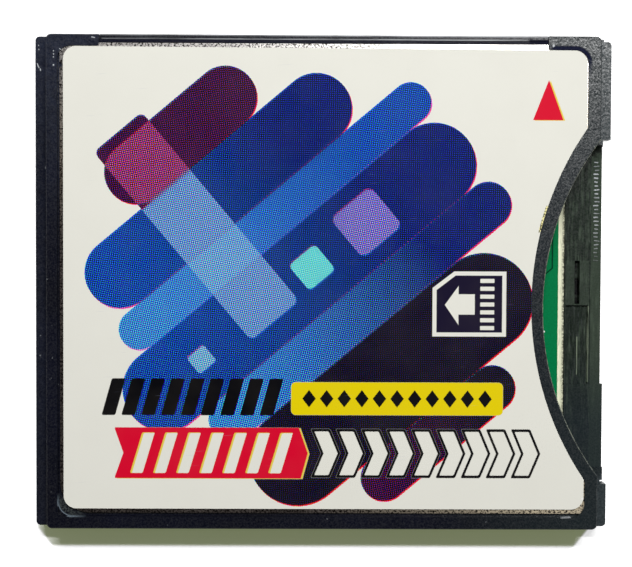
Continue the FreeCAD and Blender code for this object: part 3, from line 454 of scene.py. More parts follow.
class ADAPTER_OT_mouldings(Operator):
    """Gives the two black frames their moulded plastic and the jaw its fine ribs"""
    bl_idname = "adapter.mouldings"
    bl_label = "Frames"

    # Places in millimetres. A shape is its middle, its half size and its corners' radius.
    JAW_X, JAW_Y, JAW_Z = (18, 21.35), (-14, 10.4), (0.27, 0.8)
    LEAD_IN, LEAD_HEIGHT, LEAN = 20.36, 0.7, math.atan2(0.28, 1.04)
    PAD = ((19.35, 0.07), (0.9, 1.68), 0.05)
    SLOT = ((19.34, 0.095), (0.19, 1.64), 0.04)
    # The two painted highlight lines along the jaw.
    HIGHLIGHT_LINES = (((19.42, -5.5), (0.03, 1.45), 0.02), ((20.2, -4.6), (0.035, 2.9), 0.02))
    RIB_ROW, RIB_MIDDLE, RIB_ROUNDING = (1.62, 9.35), 20.76, 0.03
    LABEL = ((0, 0), (19.37, 17.18), 0.95)
    OPENING = ((0, 0.04), (19.55, 17.34), 1)
    NOTCH = ((36.81, -1.8), 20.6)
    # Each scuff or painted glint is its middle, its half size and its turn.
    # Those at (-19.28, 17.05), (16.82, 17.49) and (18.05, -17.3) are painted glints.
    SCUFFS_AND_GLINTS = (
        ((-21.2, 16.05), (0.035, 0.19), 0.4), ((-21.03, 15.76), (0.035, 0.09), 0.2),
        ((-19.28, 17.05), (0.03, 0.12), 0.8),
        ((-19.8, 16.95), (0.03, 0.05), 0), ((-19.79, 16.72), (0.03, 0.05), 0),
        ((-19.8, 16.5), (0.03, 0.05), 0), ((-19.8, 15.92), (0.05, 0.06), 0),
        ((-21.16, 17.55), (0.03, 0.04), 0), ((-21.14, 17.25), (0.03, 0.04), 0),
        ((-16.9, 17.95), (0.14, 0.03), -0.2), ((16.82, 17.49), (0.08, 0.08), 0),
        ((18.05, -17.3), (0.38, 0.02), 0.03))

    def execute(self, context):
        s = context.scene.adapter_mouldings
        self.settings = s
        made = moulded(s, "frame_plastic", s.frame_colour, marks=self.marks)
        made.dress("upper_frame", "lower_frame")
        self.ribs(context, made.material)
        return {"FINISHED"}

    def marks(self, made, body):
        """The frames' colour with every mark and painted light on it, and where marks smooth and
        dull it.
        """
        s = self.settings
        jaw = made.times(made.inside(made.x, *self.JAW_X), made.inside(made.y, *self.JAW_Y),
                         made.inside(made.z, *self.JAW_Z))
        blotch = made.noise(made.place, 1.3, 2, 0.5)
        tilt = made.absolute(made.split(made.normal)[2])
        edge = made.inside(tilt, 0.5, 0.93, 0.08)
        # Painted highlights on the chamfered edges, in patches and stronger to the right.
        lit_edges = made.times(edge, made.patches(1.6, 3, 0.65, 0.45, 0.68, 0.02, 0.6),
                            made.slope(made.x, -12, 12))
        # Painted shade round the label's top right corner, where the frame would slope away from
        # the light.
        groove = made.times(
            made.slope(made.x, 16.4, 16.9), made.slope(made.y, 15.2, 16.6),
            made.slope(made.bar(made.flat, *self.LABEL), 0.36, 0.24))
        scuffs_and_glints = made.either(*(
            made.bar(made.flat, middle, half, min(half) * 0.9, turn)
            for middle, half, turn in self.SCUFFS_AND_GLINTS))
        lip, seat = self.lip_and_seat(made)
        # Most of these coats are painted light: sheen, highlights, reflection and shade.
        body = made.coats(
            body, (made.slope(made.x, 8, 21), s.frame_sheen_grey), (self.haze(made), s.reflection_blue),
            (jaw, self.jaw_floor(made, blotch)), (self.tabs(made), s.tab_sheen),
            (self.rib_crest_highlights(made, jaw, blotch), s.dust_and_highlight), (lit_edges, s.sheen_grey),
            (groove, s.corner_shade), (lip, s.lip_highlight_colour), (seat, s.seat_colour),
            (self.notch_highlight(made), s.notch_highlight_colour), (made.cover(scuffs_and_glints, 0.045), s.dust_and_highlight))
        dull = made.most(made.times(jaw, 0.75), groove, made.times(edge, 0.85))
        return body, made.most(jaw, groove), dull

    def haze(self, made):
        """Painted reflection in clouds on the left rail and the corner above it."""
        upper = made.slope(made.y, 4, 17, 0, 0.75)
        rail = made.slope(made.x, -20.4, -20.7, 0, 0.25)
        return made.times(made.most(upper, rail), made.slope(made.x, -9, -19),
                          made.patches(2.2, 4, 0.7, 0.34, 0.62, 0.35))

    def jaw_floor(self, made, blotch):
        """The jaw's painted green reflection and sheen streaks, a lighter pad and lead-in, two
        painted highlights and a slot in painted shade.
        """
        s = self.settings
        streaks = made.stretched(made.place, (7, 0.5, 1), 1, 3, 0.6)
        shine = made.times(
            made.slope(streaks, 0.46, 0.7), made.slope(blotch, 0.4, 0.62, 0.3))
        lead = made.slope(made.x, self.LEAD_IN - 0.02, self.LEAD_IN + 0.04, 0, 0.5)
        pad = made.times(made.cover(made.bar(made.flat, *self.PAD)), 0.3)
        highlight_lines = made.either(*(made.bar(made.flat, *line) for line in self.HIGHLIGHT_LINES))
        bright = made.times(made.cover(highlight_lines, 0.05), made.slope(streaks, 0.36, 0.52))
        # The slot's painted shade, with ragged edges.
        ragged = made.patches(1.5, 1, 0.5, 0.35, 0.7, -0.02, 0.05)
        slot = made.cover(made.plus(ragged, made.bar(made.flat, *self.SLOT)))
        return made.coats(
            s.jaw_green_reflection, (shine, s.jaw_sheen), (made.most(lead, pad), s.jaw_sheen),
            (bright, s.jaw_highlight), (slot, s.jaw_slot_shade),
            (made.slope(made.y, -5, -10.5, 0, 0.7), s.jaw_lower_shade))

    def tabs(self, made):
        """Painted sheen in speckles on the rail tabs at both ends of the slot."""
        ends = made.most(made.slope(made.y, -14.3, -14.6, 0, 0.8),
                         made.slope(made.y, 10.4, 10.7, 0, 0.7))
        return made.times(ends, made.slope(made.x, 20.36, 20.42),
                          made.patches(6, 2, 0.6, 0.4, 0.6, 0.35))

    def rib_crest_highlights(self, made, jaw, blotch):
        """Painted highlights on the tops of the jaw's ribs, strongest towards the socket."""
        slant = math.tan(self.LEAN)
        height = made.minus(made.z, self.LEAD_HEIGHT + slant * self.LEAD_IN)
        above = made.math("MULTIPLY_ADD", made.x, slant, height)
        return made.times(
            made.slope(above, 0.012, 0.036), jaw, made.inside(made.y, 1.4, 9.4),
            made.slope(made.x, 20.3, 20.4), made.slope(blotch, 0.34, 0.56, 0.35),
            made.slope(made.y, 1.5, 7, 0.3))

    def lip_and_seat(self, made):
        """The painted highlight on the opening's lip and the speckled seat inside it, at the
        bottom left.
        """
        opening = made.bar(made.flat, *self.OPENING)
        near = made.times(made.slope(made.x, -17.4, -18.6), made.slope(made.y, -15.6, -16.3))
        lip = made.times(made.slope(made.absolute(opening), 0.05, 0.02),
                         made.inside(made.z, 2.9, 3.4), near)
        seat = made.times(
            made.slope(opening, -0.04, -0.08), near, made.patches(6, 2, 0.6, 0.42, 0.62))
        return lip, seat

    def notch_highlight(self, made):
        """A broken painted highlight along the notch's edge."""
        away = made.absolute(made.disc(made.flat, *self.NOTCH))
        return made.times(
            made.slope(away, 0.06, 0.02), made.inside(made.z, 2.6, 3.4),
            made.slope(made.y, -14.4, -12.6), made.patches(3, 3, 0.7, 0.42, 0.62, 0.15))

    def ribs(self, context, material):
        """A row of short moulded ribs on the sloping lead-in, as uneven as they were cut."""
        d = context.scene.adapter_detail
        chance = random.Random(7)
        form = bmesh.new()
        low, high = self.RIB_ROW
        for index in range(d.rib_count):
            y = low + (high - low) * (index + 0.5) / d.rib_count
            x = self.RIB_MIDDLE + chance.uniform(-0.06, 0.06)
            z = self.LEAD_HEIGHT - (x - self.LEAD_IN) * math.tan(self.LEAN)
            place = (Matrix.Translation((x * MM, y * MM, z * MM))
                     @ Matrix.Rotation(self.LEAN, 4, "Y")
                     @ Matrix.Rotation(chance.uniform(-0.12, 0.12), 4, "Z"))
            reach = d.rib_length / MM / 2 * chance.uniform(0.6, 1)
            half = (reach, d.rib_width / MM / 2 * chance.uniform(0.7, 1.1), d.rib_height / MM)
            block(form, place, half, self.RIB_ROUNDING)
        piece(context, "jaw_ribs", form, material)


class ADAPTER_OT_socket(Operator):
    """Gives the socket block and the contact carrier their satin plastic"""
    bl_idname = "adapter.socket"
    bl_label = "Socket block and carrier"

    LINE_Y, LINE_HALF, LINE_ROUNDING = 17.88, 16.3, 0.03

    def execute(self, context):
        s = context.scene.adapter_mouldings
        d = context.scene.adapter_detail
        self.settings = s
        made = moulded(s, "connector_plastic", s.connector_colour, 0.6, 0.4, gloss=0.36,
                       wear=0.6, marks=self.marks)
        made.dress("connector_block")
        moulded(s, "inner_plastic", s.carrier_colour, 0.7, 0.4, gloss=0.42,
                wear=0.3).dress("contact_carrier")

        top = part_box("connector_block")[1].z
        form = bmesh.new()
        middle = Matrix.Translation((0, self.LINE_Y * MM, top))
        half = (self.LINE_HALF, d.line_width / MM / 2, d.line_height / MM)
        block(form, middle, half, self.LINE_ROUNDING)
        piece(context, "socket_line", form, made.material)
        return {"FINISHED"}

    def marks(self, made, body):
        """Painted highlights on the outer edge and raised line of the lip, in streaks along the
        block.
        """
        s = self.settings
        streaks = made.stretched(made.place, (0.35, 9, 2), 1, 3, 0.6)
        outer = made.times(
            made.slope(made.y, 18.09, 18.15, 0, 0.85), made.slope(made.z, 3.1, 3.2))
        line = made.slope(made.z, 3.25, 3.27, 0, 0.7)
        lit_edges = made.times(
            made.most(outer, line), made.slope(streaks, 0.36, 0.56, 0.35),
            made.slope(made.x, -17, 4, 0.45))
        low = made.slope(made.y, 17.87, 17.8, 0, 0.7)
        end = made.times(made.slope(made.y, 17.96, 17.9), made.slope(made.x, 14.8, 15.1))
        dark = made.most(low, end)
        # Painted sheen in streaks along the block, and painted highlights on the lip's edges.
        body = made.coats(
            body, (made.slope(streaks, 0.55, 0.7, 0, 0.3), s.sheen_grey),
            (lit_edges, s.dust_and_highlight), (dark, s.connector_dark))
        return body, 0, dark


class ADAPTER_OT_covers(Operator):
    """Gives the two sheet covers their grained steel"""
    bl_idname = "adapter.covers"
    bl_label = "Steel covers"

    BETWEEN_COVERS = (1.5, 1.7)

    def execute(self, context):
        s = context.scene.adapter_metals
        made = Finish("cover_steel")
        grain = made.noise(made.place, MM / s.steel_grain, 3, 0.7)
        drawn = made.stretched(made.place, (0.35, 7, 7))
        upper = made.slope(made.z, *self.BETWEEN_COVERS)
        # Painted reflection of the light on the upper cover's rim, in flecks along the grain.
        glare = made.times(self.painted_glare(made, grain), upper)
        bright = made.mix(made.slope(made.y, 8, 16), s.steel_warm_highlight, s.steel_highlight)
        tone = made.coats(
            s.steel_dark, (made.slope(grain, 0.43, 0.57), s.steel_colour),
            (made.patches(0.5, 2, 0.5, 0.35, 0.7, 0, 0.4), s.steel_dark), (glare, bright))
        plain = made.mix(made.slope(grain, 0.36, 0.6), s.steel_plain_dark, s.steel_plain)
        made.set(Base_Color=made.mix(upper, plain, tone),
                 Metallic=made.slope(glare, 0, 1, 1, 0.6),
                 Roughness=made.slope(drawn, 0.3, 0.7, 0.28, 0.38))
        made.raised(grain, 0.02 * MM)
        made.dress("top_cover_plate", "bottom_cover_plate")
        return {"FINISHED"}

    def painted_glare(self, made, grain):
        """How far the cover's rim gets a painted reflection of the light: in flecks, and evenly
        beside the slot.
        """
        rear = made.times(made.slope(made.y, 16.7, 17.2), made.slope(made.x, -18.5, 0, 0.75))
        right = made.slope(made.x, 0, 17, 0, 0.95)
        left = made.times(made.slope(made.y, 3, 17, 0, 0.45), made.slope(made.x, -18.4, -18.8))
        flecks = made.slope(grain, 0.445, 0.5)
        even = made.times(made.slope(made.x, 1, 9), made.slope(made.y, -12, -6))
        return made.times(made.most(rear, right, left), made.most(flecks, even))


class ADAPTER_OT_contacts(Operator):
    """Gives the forks, contact strips and switch springs their plating"""
    bl_idname = "adapter.contacts"
    bl_label = "Contacts"

    def execute(self, context):
        s = context.scene.adapter_metals
        made = Finish("gold_contact")
        wear = made.patches(1.6, 3, 0.6, 0.4, 0.7, 0, 0.6)
        fine = made.stretched(made.place, (6, 1, 6), 4)
        made.set(Base_Color=made.mix(wear, s.gold_colour, darker(s.gold_colour, 0.7)),
                 Metallic=1, Roughness=made.slope(fine, 0.3, 0.7, 0.18, 0.34))
        made.raised(fine, 0.002 * MM)
        made.dress(
            "upper_fork_contacts", "lower_fork_contacts", "small_card_contacts",
            "card_detect_spring", "card_detect_contact", "write_protect_spring",
            "write_protect_contact")
        return {"FINISHED"}


class ADAPTER_OT_parts(Operator):
    """Gives the chips, leads, crystal, capacitors and resistors their finishes"""
    bl_idname = "adapter.parts"
    bl_label = "Parts on the board"

    def execute(self, context):
        s = context.scene.adapter_mouldings
        m = context.scene.adapter_metals
        moulded(s, "chip_plastic", s.chip_colour, 0.4, 0.4, gloss=0.5,
                wear=0.3).dress("controller_chip", "voltage_regulator")
        grained("tinned_lead", ("controller_terminals", "regulator_leads"), m.tin_colour, 0.8,
                (1, 1, 1), (3, 3, 0.6), (0.35, 0.7), (0.2, 0.42), 0.01, metal=1)
        grained("crystal_can", ("crystal",), m.crystal_colour, 0.85,
                (0.5, 8, 8), (2,), (0.3, 0.7), (0.25, 0.4), 0.003, metal=1)
        for name, node, tone in (("capacitor_ceramic", "capacitors", m.capacitor_colour),
                                 ("resistor_ceramic", "resistors", m.resistor_colour)):
            grained(name, (node,), tone, 0.82,
                    (1, 1, 1), (14, 2, 0.6), (0.35, 0.65), (0.4, 0.6), 0.004)
        return {"FINISHED"}


class ADAPTER_OT_board(Operator):
    """Gives the board its solder mask, tracks and bare edge, and the film its amber"""
    bl_idname = "adapter.board"
    bl_label = "Board and film"

    BEAD = ((16.87, -3.66), 0.07)
    POUR_GAP = [(17.4, 1.15), (17.5, 1.15), (17.5, 3.9), (17.4, 3.9)]
    POUR_BEND = ((17.22, 0.96), (0.35, 0.05), 0.04, math.radians(41))
    TRACK_FIELD = ((0, 9.4), (16.5, 2.6), 0.2)

    def execute(self, context):
        s = context.scene.adapter_board
        low, high = (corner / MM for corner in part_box("circuit_board"))
        made = Finish("board_laminate")
        weave = made.noise(made.flat, 7, 1, 0.5)
        tracks = self.tracks(made, s)
        ragged = made.plus(made.x, made.slope(
            made.stretched(made.place, (3, 1.6, 3)), 0.3, 0.7, -0.01, 0.01))
        line = high.x - s.mask_edge / MM
        bare = made.slope(ragged, line - 0.02, line + 0.02)
        sides = made.times(made.slope(made.z, low.z + 0.03, low.z + 0.05),
                           made.slope(made.z, high.z - 0.005, high.z - 0.02))
        edge = made.most(bare, sides)
        tone = made.coats(
            darker(s.mask, 0.9), (made.slope(weave, 0.3, 0.7), darker(s.mask, 1.08)),
            (tracks, s.groove), (made.cover(made.disc(made.flat, *self.BEAD)), OFF_WHITE),
            (edge, self.raw_edge(made, s.laminate, line, high.x)))
        made.set(Base_Color=tone, Specular_IOR_Level=0.05,
                 Roughness=made.slope(edge, 0, 1, 0.4, 0.7))
        made.raised(made.minus(1, tracks), 0.02 * MM)
        made.dress("circuit_board")

        grained("insulating_film", ("insulating_film",), s.film, 0.8,
                (1, 1, 1), (1.2, 3, 0.6), (0.7, 0.3), (0.2, 0.34), 0.01)
        return {"FINISHED"}

    def raw_edge(self, made, laminate, line, end):
        """Bare laminate from the mask's line to the board's end, with fibres and crumbs."""
        fibre = made.stretched(made.place, (9, 1.2, 9), 1, 3, 0.6)
        crumbs = made.times(made.slope(made.x, end - 0.2, end - 0.04),
                            made.patches(7, 2, 0.6, 0.42, 0.58))
        return made.coats(
            laminate, (made.slope(made.x, line + 0.1, end), darker(laminate, 0.62)),
            (made.slope(fibre, 0.52, 0.72, 0, 0.5), darker(laminate, 0.4)),
            (crumbs, darker(laminate, 0.12)))

    def tracks(self, made, s):
        """Gaps in the copper: round the pour at the slot, and between tracks to the socket."""
        gap = made.convex(made.flat, self.POUR_GAP)
        bend = made.bar(made.flat, *self.POUR_BEND)
        pitch = s.track_pitch / MM
        wrapped = made.math("WRAP", made.x, pitch / 2, -pitch / 2)
        line = made.minus(made.absolute(wrapped), s.track_width / MM / 2)
        field = made.bar(made.flat, *self.TRACK_FIELD)
        return made.cover(made.either(gap, bend, made.both(line, field)), 0.05)


class ADAPTER_OT_label(Operator):
    """Prints the label: bands, banner, plate, insertion mark and card sign in screened inks"""
    bl_idname = "adapter.label"
    bl_label = "Label"

    # Places in millimetres on the label. A row is its middle, its half size and its pitch.
    BANDS_MIDDLE = (-1.45, 0.07)
    # Each band is its height across, its offset, its half length, its half width and two inks.
    BANDS = (
        (14.1, 0, 6.6, 2.3, "plum", "plum"), (9.2, -0.5, 12, 2.6, "blue", "deep_blue"),
        (5.1, 1.5, 14.5, 1.5, "sky", "blue"), (0.5, 0, 16, 3.1, "blue", "deep_blue"),
        (-4.3, 1.8, 14, 1.7, "sky", "deep_blue"), (-9.6, 0.35, 12.55, 3.6, "navy", "navy"),
        (-14.9, 0.5, 6.9, 1.7, "plum", "navy"))
    CROSS_BAND = ((-3.4, 8.2), (2.3, 9), 0.5)
    SQUARES = ((6.4, 1.9, "lilac"), (1.2, 1.25, "aqua"), (-9.4, 0.8, "pale"))
    SQUARES_ROW = 0.5
    HATCH = ((-9.6, -8.4), (6.55, 1.36), 13.1 / 9)
    PLATE = ((5.49, -8.5), (7.83, 1.22), 0.36)
    GEMS = ((5.49, -8.5), (7.15, 1), 1.3)
    BANNER = [(-15.33, -14.43), (-1.6, -14.43), (-1.09, -12.55), (-1.75, -10.66),
              (-15.33, -10.66)]
    BANNER_NOTCH = [(-15.38, -14.43), (-14.71, -12.55), (-15.38, -10.66)]
    SLASHES = ((-8.2, -12.54), (5.95, 1.5), 11.9 / 7)
    CHEVRONS = ((8, -12.55), (8.5, 1.82), 16.65 / 9)
    CARD = [(8.06, -3.87), (13.5, -3.87), (13.5, 0.93), (9.66, 0.93), (8.06, -0.29)]
    CARD_RIM = 0.3
    CARD_PADS, PADS_PITCH = ((12.1, -1.5), (0.6, 2.02), 0.02), 0.58
    ARROW_HEAD = [(8.97, -1.54), (9.98, -3.01), (9.98, -0.14)]
    ARROW_SHAFT = ((10.56, -1.5), (0.62, 0.75), 0.02)
    INSERTION_MARK = [(16.51, 15.02), (15.35, 12.06), (17.6, 12.06)]
    RIB = ((38.29, -1.5), 22.94)
    FRAYED_Y = (3.75, 5.85)
    BITS = (((18.88, -13.44), 0.09), ((19.3, -15.89), 0.1))
    SCREEN_ANGLES = (15, 75, 0)
    WHITE = (1, 1, 1)

    def execute(self, context):
        s = context.scene.adapter_print
        artwork = self.artwork(s)
        made = Finish("label_print")
        shift = s.plate_shift / MM
        moved = made.vector("SUBTRACT", made.flat, (0.7 * shift, -shift, 0))
        inks = made.add("Group", made.flat, made.flat, node_tree=artwork).outputs
        astray = made.add("Group", made.flat, moved, node_tree=artwork).outputs
        own = made.add("SeparateColor", inks["Tone"]).outputs
        astray = made.add("SeparateColor", astray["Tone"]).outputs
        values = [own[0]] + [
            made.math("MINIMUM", astray[channel], made.plus(own[channel], least))
            for channel, least in ((1, 0.07), (2, 0.25))]
        printed = [self.screened(made, value, turn, s.screen_pitch / MM)
                   for value, turn in zip(values, self.SCREEN_ANGLES)]
        body = made.add("CombineColor", *printed).outputs[0]
        body = made.mix(inks["Cover"], body, inks["Signs"])
        body = made.mix(1, body, s.paper, "MULTIPLY")
        haze = made.noise(made.flat, 0.25, 3, 0.55)
        body = made.coats(
            body, (inks["Black"], s.black), (made.slope(haze, 0.4, 0.75, 0, 0.03), s.aged),
            (self.scratches(made), s.scratch), *self.worn_edge(made, s))
        made.set(Base_Color=body, Roughness=made.slope(haze, 0.3, 0.7, 0.54, 0.62),
                 Specular_IOR_Level=0.08)
        made.raised(made.noise(made.flat, 5, 2, 0.5), 0.003 * MM)
        made.dress("label")
        return {"FINISHED"}

    def screened(self, made, value, turn, pitch):
        """One ink as a screen of dots at its own angle, its dots as large as the tone asks.

        Two crossed waves rank each spot from 0 to 1, evened out by their cube, and ink falls
        where the tone and the rank together stay below 1.
        """
        light = made.most(value, 0)
        turned = made.local(made.flat, (0, 0), math.radians(turn))
        u, v = made.split(made.scaled(turned, math.tau / pitch))[:2]
        waves = made.times(made.plus(made.math("COSINE", u), made.math("COSINE", v)), 0.5)
        cubed = made.math("POWER", made.absolute(waves), 3)
        cubed = made.times(cubed, made.math("SIGN", waves))
        rank = made.plus(made.math("MULTIPLY_ADD", waves, 0.591, 0.5),
                         made.times(cubed, -0.091))
        dark = made.math("SQRT", made.times(made.math("MINIMUM", light, 0.125), 0.5))
        level = made.plus(dark, made.most(made.minus(light, 0.125), 0))
        dots = made.math("MULTIPLY_ADD", made.plus(level, rank), -4, 5, clamp=True)
        dots = made.times(dots, made.math("LESS_THAN", light, 0.97))
        return made.minus(1, dots)

    def scratches(self, made):
        """Faint hair scratches that lie mostly across the label."""
        turned = made.local(made.flat, (3, -2), math.radians(4))
        drawn = made.stretched(turned, (0.35, 14, 0), 1, 1)
        patch = made.slope(made.noise(made.flat, 0.5, 1, 0.5), 0.5, 0.6)
        return made.times(made.slope(drawn, 0.735, 0.775, 0, 0.22), patch)

    def worn_edge(self, made, s):
        """The label's cut edge: frayed and yellowed for a stretch along the rib."""
        from_rib = made.disc(made.flat, *self.RIB)
        stretch = made.times(made.inside(from_rib, -0.2, 0.17, 0.05),
                             made.inside(made.y, *self.FRAYED_Y, 0.15))
        frayed = made.mix(made.patches(9, 2, 0.6, 0.5, 0.56), s.frayed, s.frayed_dark)
        bits = made.cover(made.either(*(made.disc(made.flat, *bit) for bit in self.BITS)))
        side = made.slope(made.z, 3.297, 3.285)
        return (stretch, frayed), (bits, OFF_WHITE), (side, s.cut_edge)

    def artwork(self, s):
        """A group that gives the print's tone, relative to the bare film, and its black ink."""
        tree = bpy.data.node_groups.new("label_artwork", "ShaderNodeTree")
        for name in ("Place", "Band place"):
            tree.interface.new_socket(name, in_out="INPUT", socket_type="NodeSocketVector")
        for name, kind in (("Tone", "Color"), ("Signs", "Color"), ("Cover", "Float"),
                           ("Black", "Float")):
            tree.interface.new_socket(name, in_out="OUTPUT", socket_type="NodeSocket" + kind)
        art = Nodes(tree)
        given = tree.nodes.new("NodeGroupInput").outputs

        def tone(name):
            ink = getattr(s, name)
            return tuple(min(value / white, 1) for value, white in zip(ink, s.paper))

        picture = self.bands(art, given[1], s.band_angle, tone)
        signs = self.signs(art, given[0], tone, s.yellow_shift / MM)
        result = tree.nodes.new("NodeGroupOutput")
        for socket, value in zip(result.inputs, (picture, *signs)):
            art.feed(socket, value)
        return tree

    def bands(self, art, place, turn, tone):
        """Seven round-ended bands side by side, one band across them and three small squares."""
        own = art.local(place, self.BANDS_MIDDLE, turn)
        along, across = art.split(own)[:2]
        picture = self.WHITE
        shapes = []
        for middle, offset, reach, half, start, end in self.BANDS:
            shape = art.bar(own, (offset, middle), (reach, half), half - 0.01)
            fill = art.mix(art.slope(along, offset - reach * 0.8, offset + reach * 0.5),
                           tone(start), tone(end))
            picture = art.mix(art.cover(shape), picture, fill)
            shapes.append(shape)
        whole = art.either(*shapes)
        crossing = art.bar(own, *self.CROSS_BAND)
        outside = art.cover(art.without(crossing, whole))
        inside = art.cover(art.both(crossing, whole))
        warm = art.mix(art.slope(across, 11.6, 12), tone("pale"), tone("pink"))
        picture = art.coats(picture, (art.times(inside, 0.72), warm), (outside, tone("plum")))
        for offset, half, name in self.SQUARES:
            square = art.bar(own, (offset, self.SQUARES_ROW), (half, half), half * 0.3)
            picture = art.mix(art.cover(square), picture, tone(name))
        return picture

    def row(self, art, place, middle, size, pitch, lean=0, fold=0):
        """Cells that repeat along a row, leaning or folded to points, and the row's limit."""
        u, v = art.split(art.local(place, middle))[:2]
        bend = art.absolute(v) if fold else v
        u = art.math("MULTIPLY_ADD", bend, fold or -lean, u)
        repeated = art.math("WRAP", u, pitch / 2, -pitch / 2)
        limit = art.rounded(art.joined(u, v), size, 0.02)
        return art.joined(repeated, v), limit

    def signs(self, art, place, tone, yellow_shift):
        """The plain signs in solid inks: their colour, what they cover, and their black."""
        beside = art.vector("SUBTRACT", place, (yellow_shift, -0.3 * yellow_shift, 0))
        painted = [self.WHITE, 0]

        def paint(shape, ink):
            amount = art.cover(shape)
            painted[0] = art.mix(amount, painted[0], ink)
            painted[1] = art.most(painted[1], amount)

        cell, limit = self.row(art, place, *self.HATCH, lean=0.28)
        hatch = art.both(art.rounded(cell, (0.5, 1.36), 0.12), limit)

        paint(art.bar(place, *self.PLATE), tone("yellow"))
        cell, limit = self.row(art, place, *self.GEMS)
        folded = art.vector("ABSOLUTE", cell)
        gem = art.minus(art.vector("DOT_PRODUCT", folded, (1, 0.77, 0)), 0.5)
        gems = art.both(gem, limit)

        def banner(spot):
            return art.without(
                art.convex(spot, self.BANNER), art.convex(spot, self.BANNER_NOTCH))

        def slashes(spot):
            cell, limit = self.row(art, spot, *self.SLASHES, lean=0.3)
            return art.both(art.rounded(cell, (0.46, 1.5), 0.1), limit)

        slash = slashes(place)
        paint(banner(beside), tone("amber"))
        paint(banner(place), tone("red"))
        paint(slash, tone("amber"))
        paint(art.both(slash, slashes(beside)), self.WHITE)

        cell, limit = self.row(art, place, *self.CHEVRONS, fold=0.42)
        chevron = art.both(art.rounded(cell, (0.72, 1.82), 0.12), limit)
        inner = art.both(art.rounded(cell, (0.52, 1.62), 0.08), limit)
        paint(chevron, self.WHITE)
        outline = art.without(chevron, inner)

        card = art.convex(place, self.CARD)
        hollow = art.plus(card, self.CARD_RIM)
        paint(art.both(card, hollow), tone("navy"))
        paint(art.either(art.without(card, hollow), self.card_pads(art, place),
                         art.convex(place, self.ARROW_HEAD),
                         art.bar(place, *self.ARROW_SHAFT)), self.WHITE)

        paint(art.convex(beside, self.INSERTION_MARK), tone("amber"))
        paint(art.convex(place, self.INSERTION_MARK), tone("red"))
        black = art.cover(art.either(hatch, gems, outline))
        return (*painted, black)

    def card_pads(self, art, place):
        """The row of small bars on the card sign."""
        x, y = art.split(art.local(place, self.CARD_PADS[0]))[:2]
        cell = art.joined(x, art.math("WRAP", y, self.PADS_PITCH / 2, -self.PADS_PITCH / 2))
        return art.both(
            art.rounded(cell, (0.52, 0.15), 0.05), art.bar(place, *self.CARD_PADS))


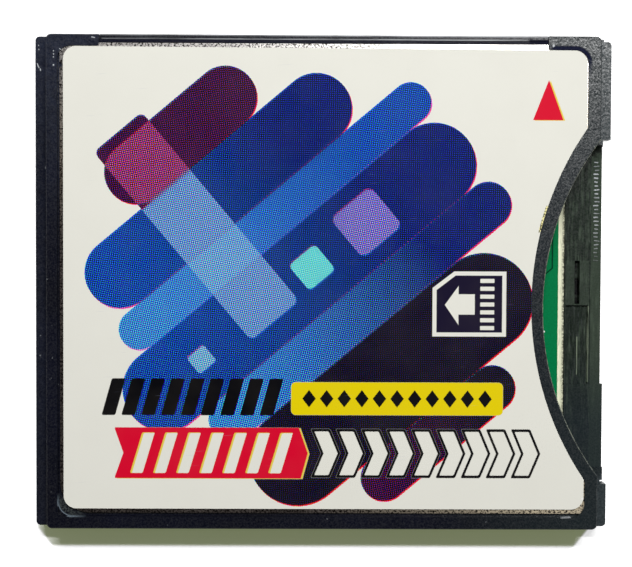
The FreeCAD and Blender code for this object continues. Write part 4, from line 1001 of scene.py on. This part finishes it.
class ADAPTER_OT_stage(Operator):
    """Sets the pale floor, the soft light and the camera above the adapter"""
    bl_idname = "adapter.stage"
    bl_label = "Studio"

    # Places in metres, as Blender's own.
    KEY_PLACE = (0.02, 0.124, 0.218)
    GLOSS_PLACE = (0.08, 0.105, 0.22)
    CAMERA_PLACE = (-0.00104, 0.00209, 0.08518)
    CAMERA_TURN = (-0.02553, -0.00612, 0.00405)
    SENSOR_WIDTH = 36
    # The tinted shadow in millimetres: where it starts and stops, and its slanted ends.
    SHADOW_START, SHADOW_STOP = (-18, -17), (-20.26, -20.38)
    SHADOW_MIDDLE, SHADOW_HALF = -0.62, (21, 21.25)
    SHADOW_CORNER, SHADOW_SLANT = -18.96, 0.8

    def execute(self, context):
        scene = context.scene
        s = scene.adapter_studio
        self.floor(context, s)
        world = bpy.data.worlds.new("studio")
        world.use_nodes = True
        scene.world = world
        sky = world.node_tree.nodes["Background"].inputs
        sky["Color"].default_value = (1, 1, 1, 1)
        sky["Strength"].default_value = s.sky_light
        key = self.lamp(
            scene, "key_lamp", self.KEY_PLACE, (s.key_width, s.key_depth), s.key_power)
        key.visible_glossy = False
        panel = self.lamp(
            scene, "gloss_lamp", self.GLOSS_PLACE, (s.gloss_size, s.gloss_size), s.gloss_power)
        panel.visible_diffuse = False
        camera = bpy.data.objects.new("camera", bpy.data.cameras.new("camera"))
        scene.collection.objects.link(camera)
        camera.location = self.CAMERA_PLACE
        camera.rotation_euler = self.CAMERA_TURN
        camera.data.lens, camera.data.sensor_width = s.lens, self.SENSOR_WIDTH
        camera.data.sensor_fit = "HORIZONTAL"
        camera.data.clip_start, camera.data.clip_end = 0.001, 10
        scene.camera = camera
        scene.view_settings.view_transform = "Standard"
        return {"FINISHED"}

    def lamp(self, scene, name, location, size, energy):
        lamp = bpy.data.lights.new(name, "AREA")
        lamp.shape, lamp.energy = "RECTANGLE", energy
        lamp.size, lamp.size_y = size
        made = bpy.data.objects.new(name, lamp)
        scene.collection.objects.link(made)
        made.location = location
        made.rotation_euler = (-made.location).to_track_quat("-Z", "Y").to_euler()
        made.visible_camera = False
        return made

    def floor(self, context, s):
        form = bmesh.new()
        bmesh.ops.create_grid(form, x_segments=1, y_segments=1, size=2)
        bmesh.ops.translate(form, verts=form.verts, vec=(0, 0, -0.02 * MM))
        made = Finish("floor")
        floor = placed(context, "floor", form, made.material)
        rays = made.add("LightPath").outputs
        seen = made.most(
            rays["Is Camera Ray"], rays["Is Glossy Ray"], rays["Is Transmission Ray"])
        past_ends = self.past_ends(made)
        away = made.most(made.slope(made.y, *self.SHADOW_START),
                         made.slope(made.y, *self.SHADOW_STOP), past_ends)
        clear = made.mix(past_ends, (s.shadow_rim,) * 3, (s.shadow_end,) * 3)
        # The floor glows for camera rays: a painted tint in the shadow strip, and painted light
        # that lifts the floor beside and past the shadow's ends.
        made.set(
            Base_Color=made.mix(seen, s.floor_colour, (1, 1, 1)),
            Roughness=0.9, Specular_IOR_Level=0, Emission_Strength=seen,
            Emission_Color=made.mix(away, s.shadow_tint, clear))

    def past_ends(self, made):
        """1 past the tinted shadow's two ends, which slant inwards from its corners."""
        sideways = made.absolute(made.minus(made.x, self.SHADOW_MIDDLE))
        lower = made.math("MINIMUM", made.minus(made.y, self.SHADOW_CORNER), 0)
        ends = made.math("MULTIPLY_ADD", lower, -self.SHADOW_SLANT, sideways)
        return made.slope(ends, *self.SHADOW_HALF)


class ADAPTER_PT_panel(Panel):
    """Lists the adapter's finishes and its studio"""
    bl_idname = "ADAPTER_PT_panel"
    bl_label = "Memory card adapter"
    bl_space_type = "VIEW_3D"
    bl_region_type = "UI"
    bl_category = "Adapter"

    def draw(self, context):
        layout = self.layout
        layout.use_property_split = True
        for name, kind in GROUPS.items():
            box = layout.box()
            for field in kind.__annotations__:
                box.prop(getattr(context.scene, name), field)
        for kind in OPERATORS:
            layout.operator(kind.bl_idname)


GROUPS = {
    "adapter_mouldings": MouldingSettings,
    "adapter_metals": MetalSettings,
    "adapter_print": PrintSettings,
    "adapter_board": BoardSettings,
    "adapter_detail": DetailSettings,
    "adapter_studio": StudioSettings,
}
OPERATORS = (
    ADAPTER_OT_mouldings, ADAPTER_OT_socket, ADAPTER_OT_covers, ADAPTER_OT_contacts,
    ADAPTER_OT_parts, ADAPTER_OT_board, ADAPTER_OT_label, ADAPTER_OT_stage)
CLASSES = (*GROUPS.values(), *OPERATORS, ADAPTER_PT_panel)


def register():
    for kind in CLASSES:
        bpy.utils.register_class(kind)
    for name, kind in GROUPS.items():
        setattr(bpy.types.Scene, name, PointerProperty(type=kind))


def unregister():
    for name in GROUPS:
        delattr(bpy.types.Scene, name)
    for kind in reversed(CLASSES):
        bpy.utils.unregister_class(kind)


def main():
    register()
    for kind in OPERATORS:
        family, name = kind.bl_idname.split(".")
        getattr(getattr(bpy.ops, family), name)()


if __name__ == "__main__":
    main()
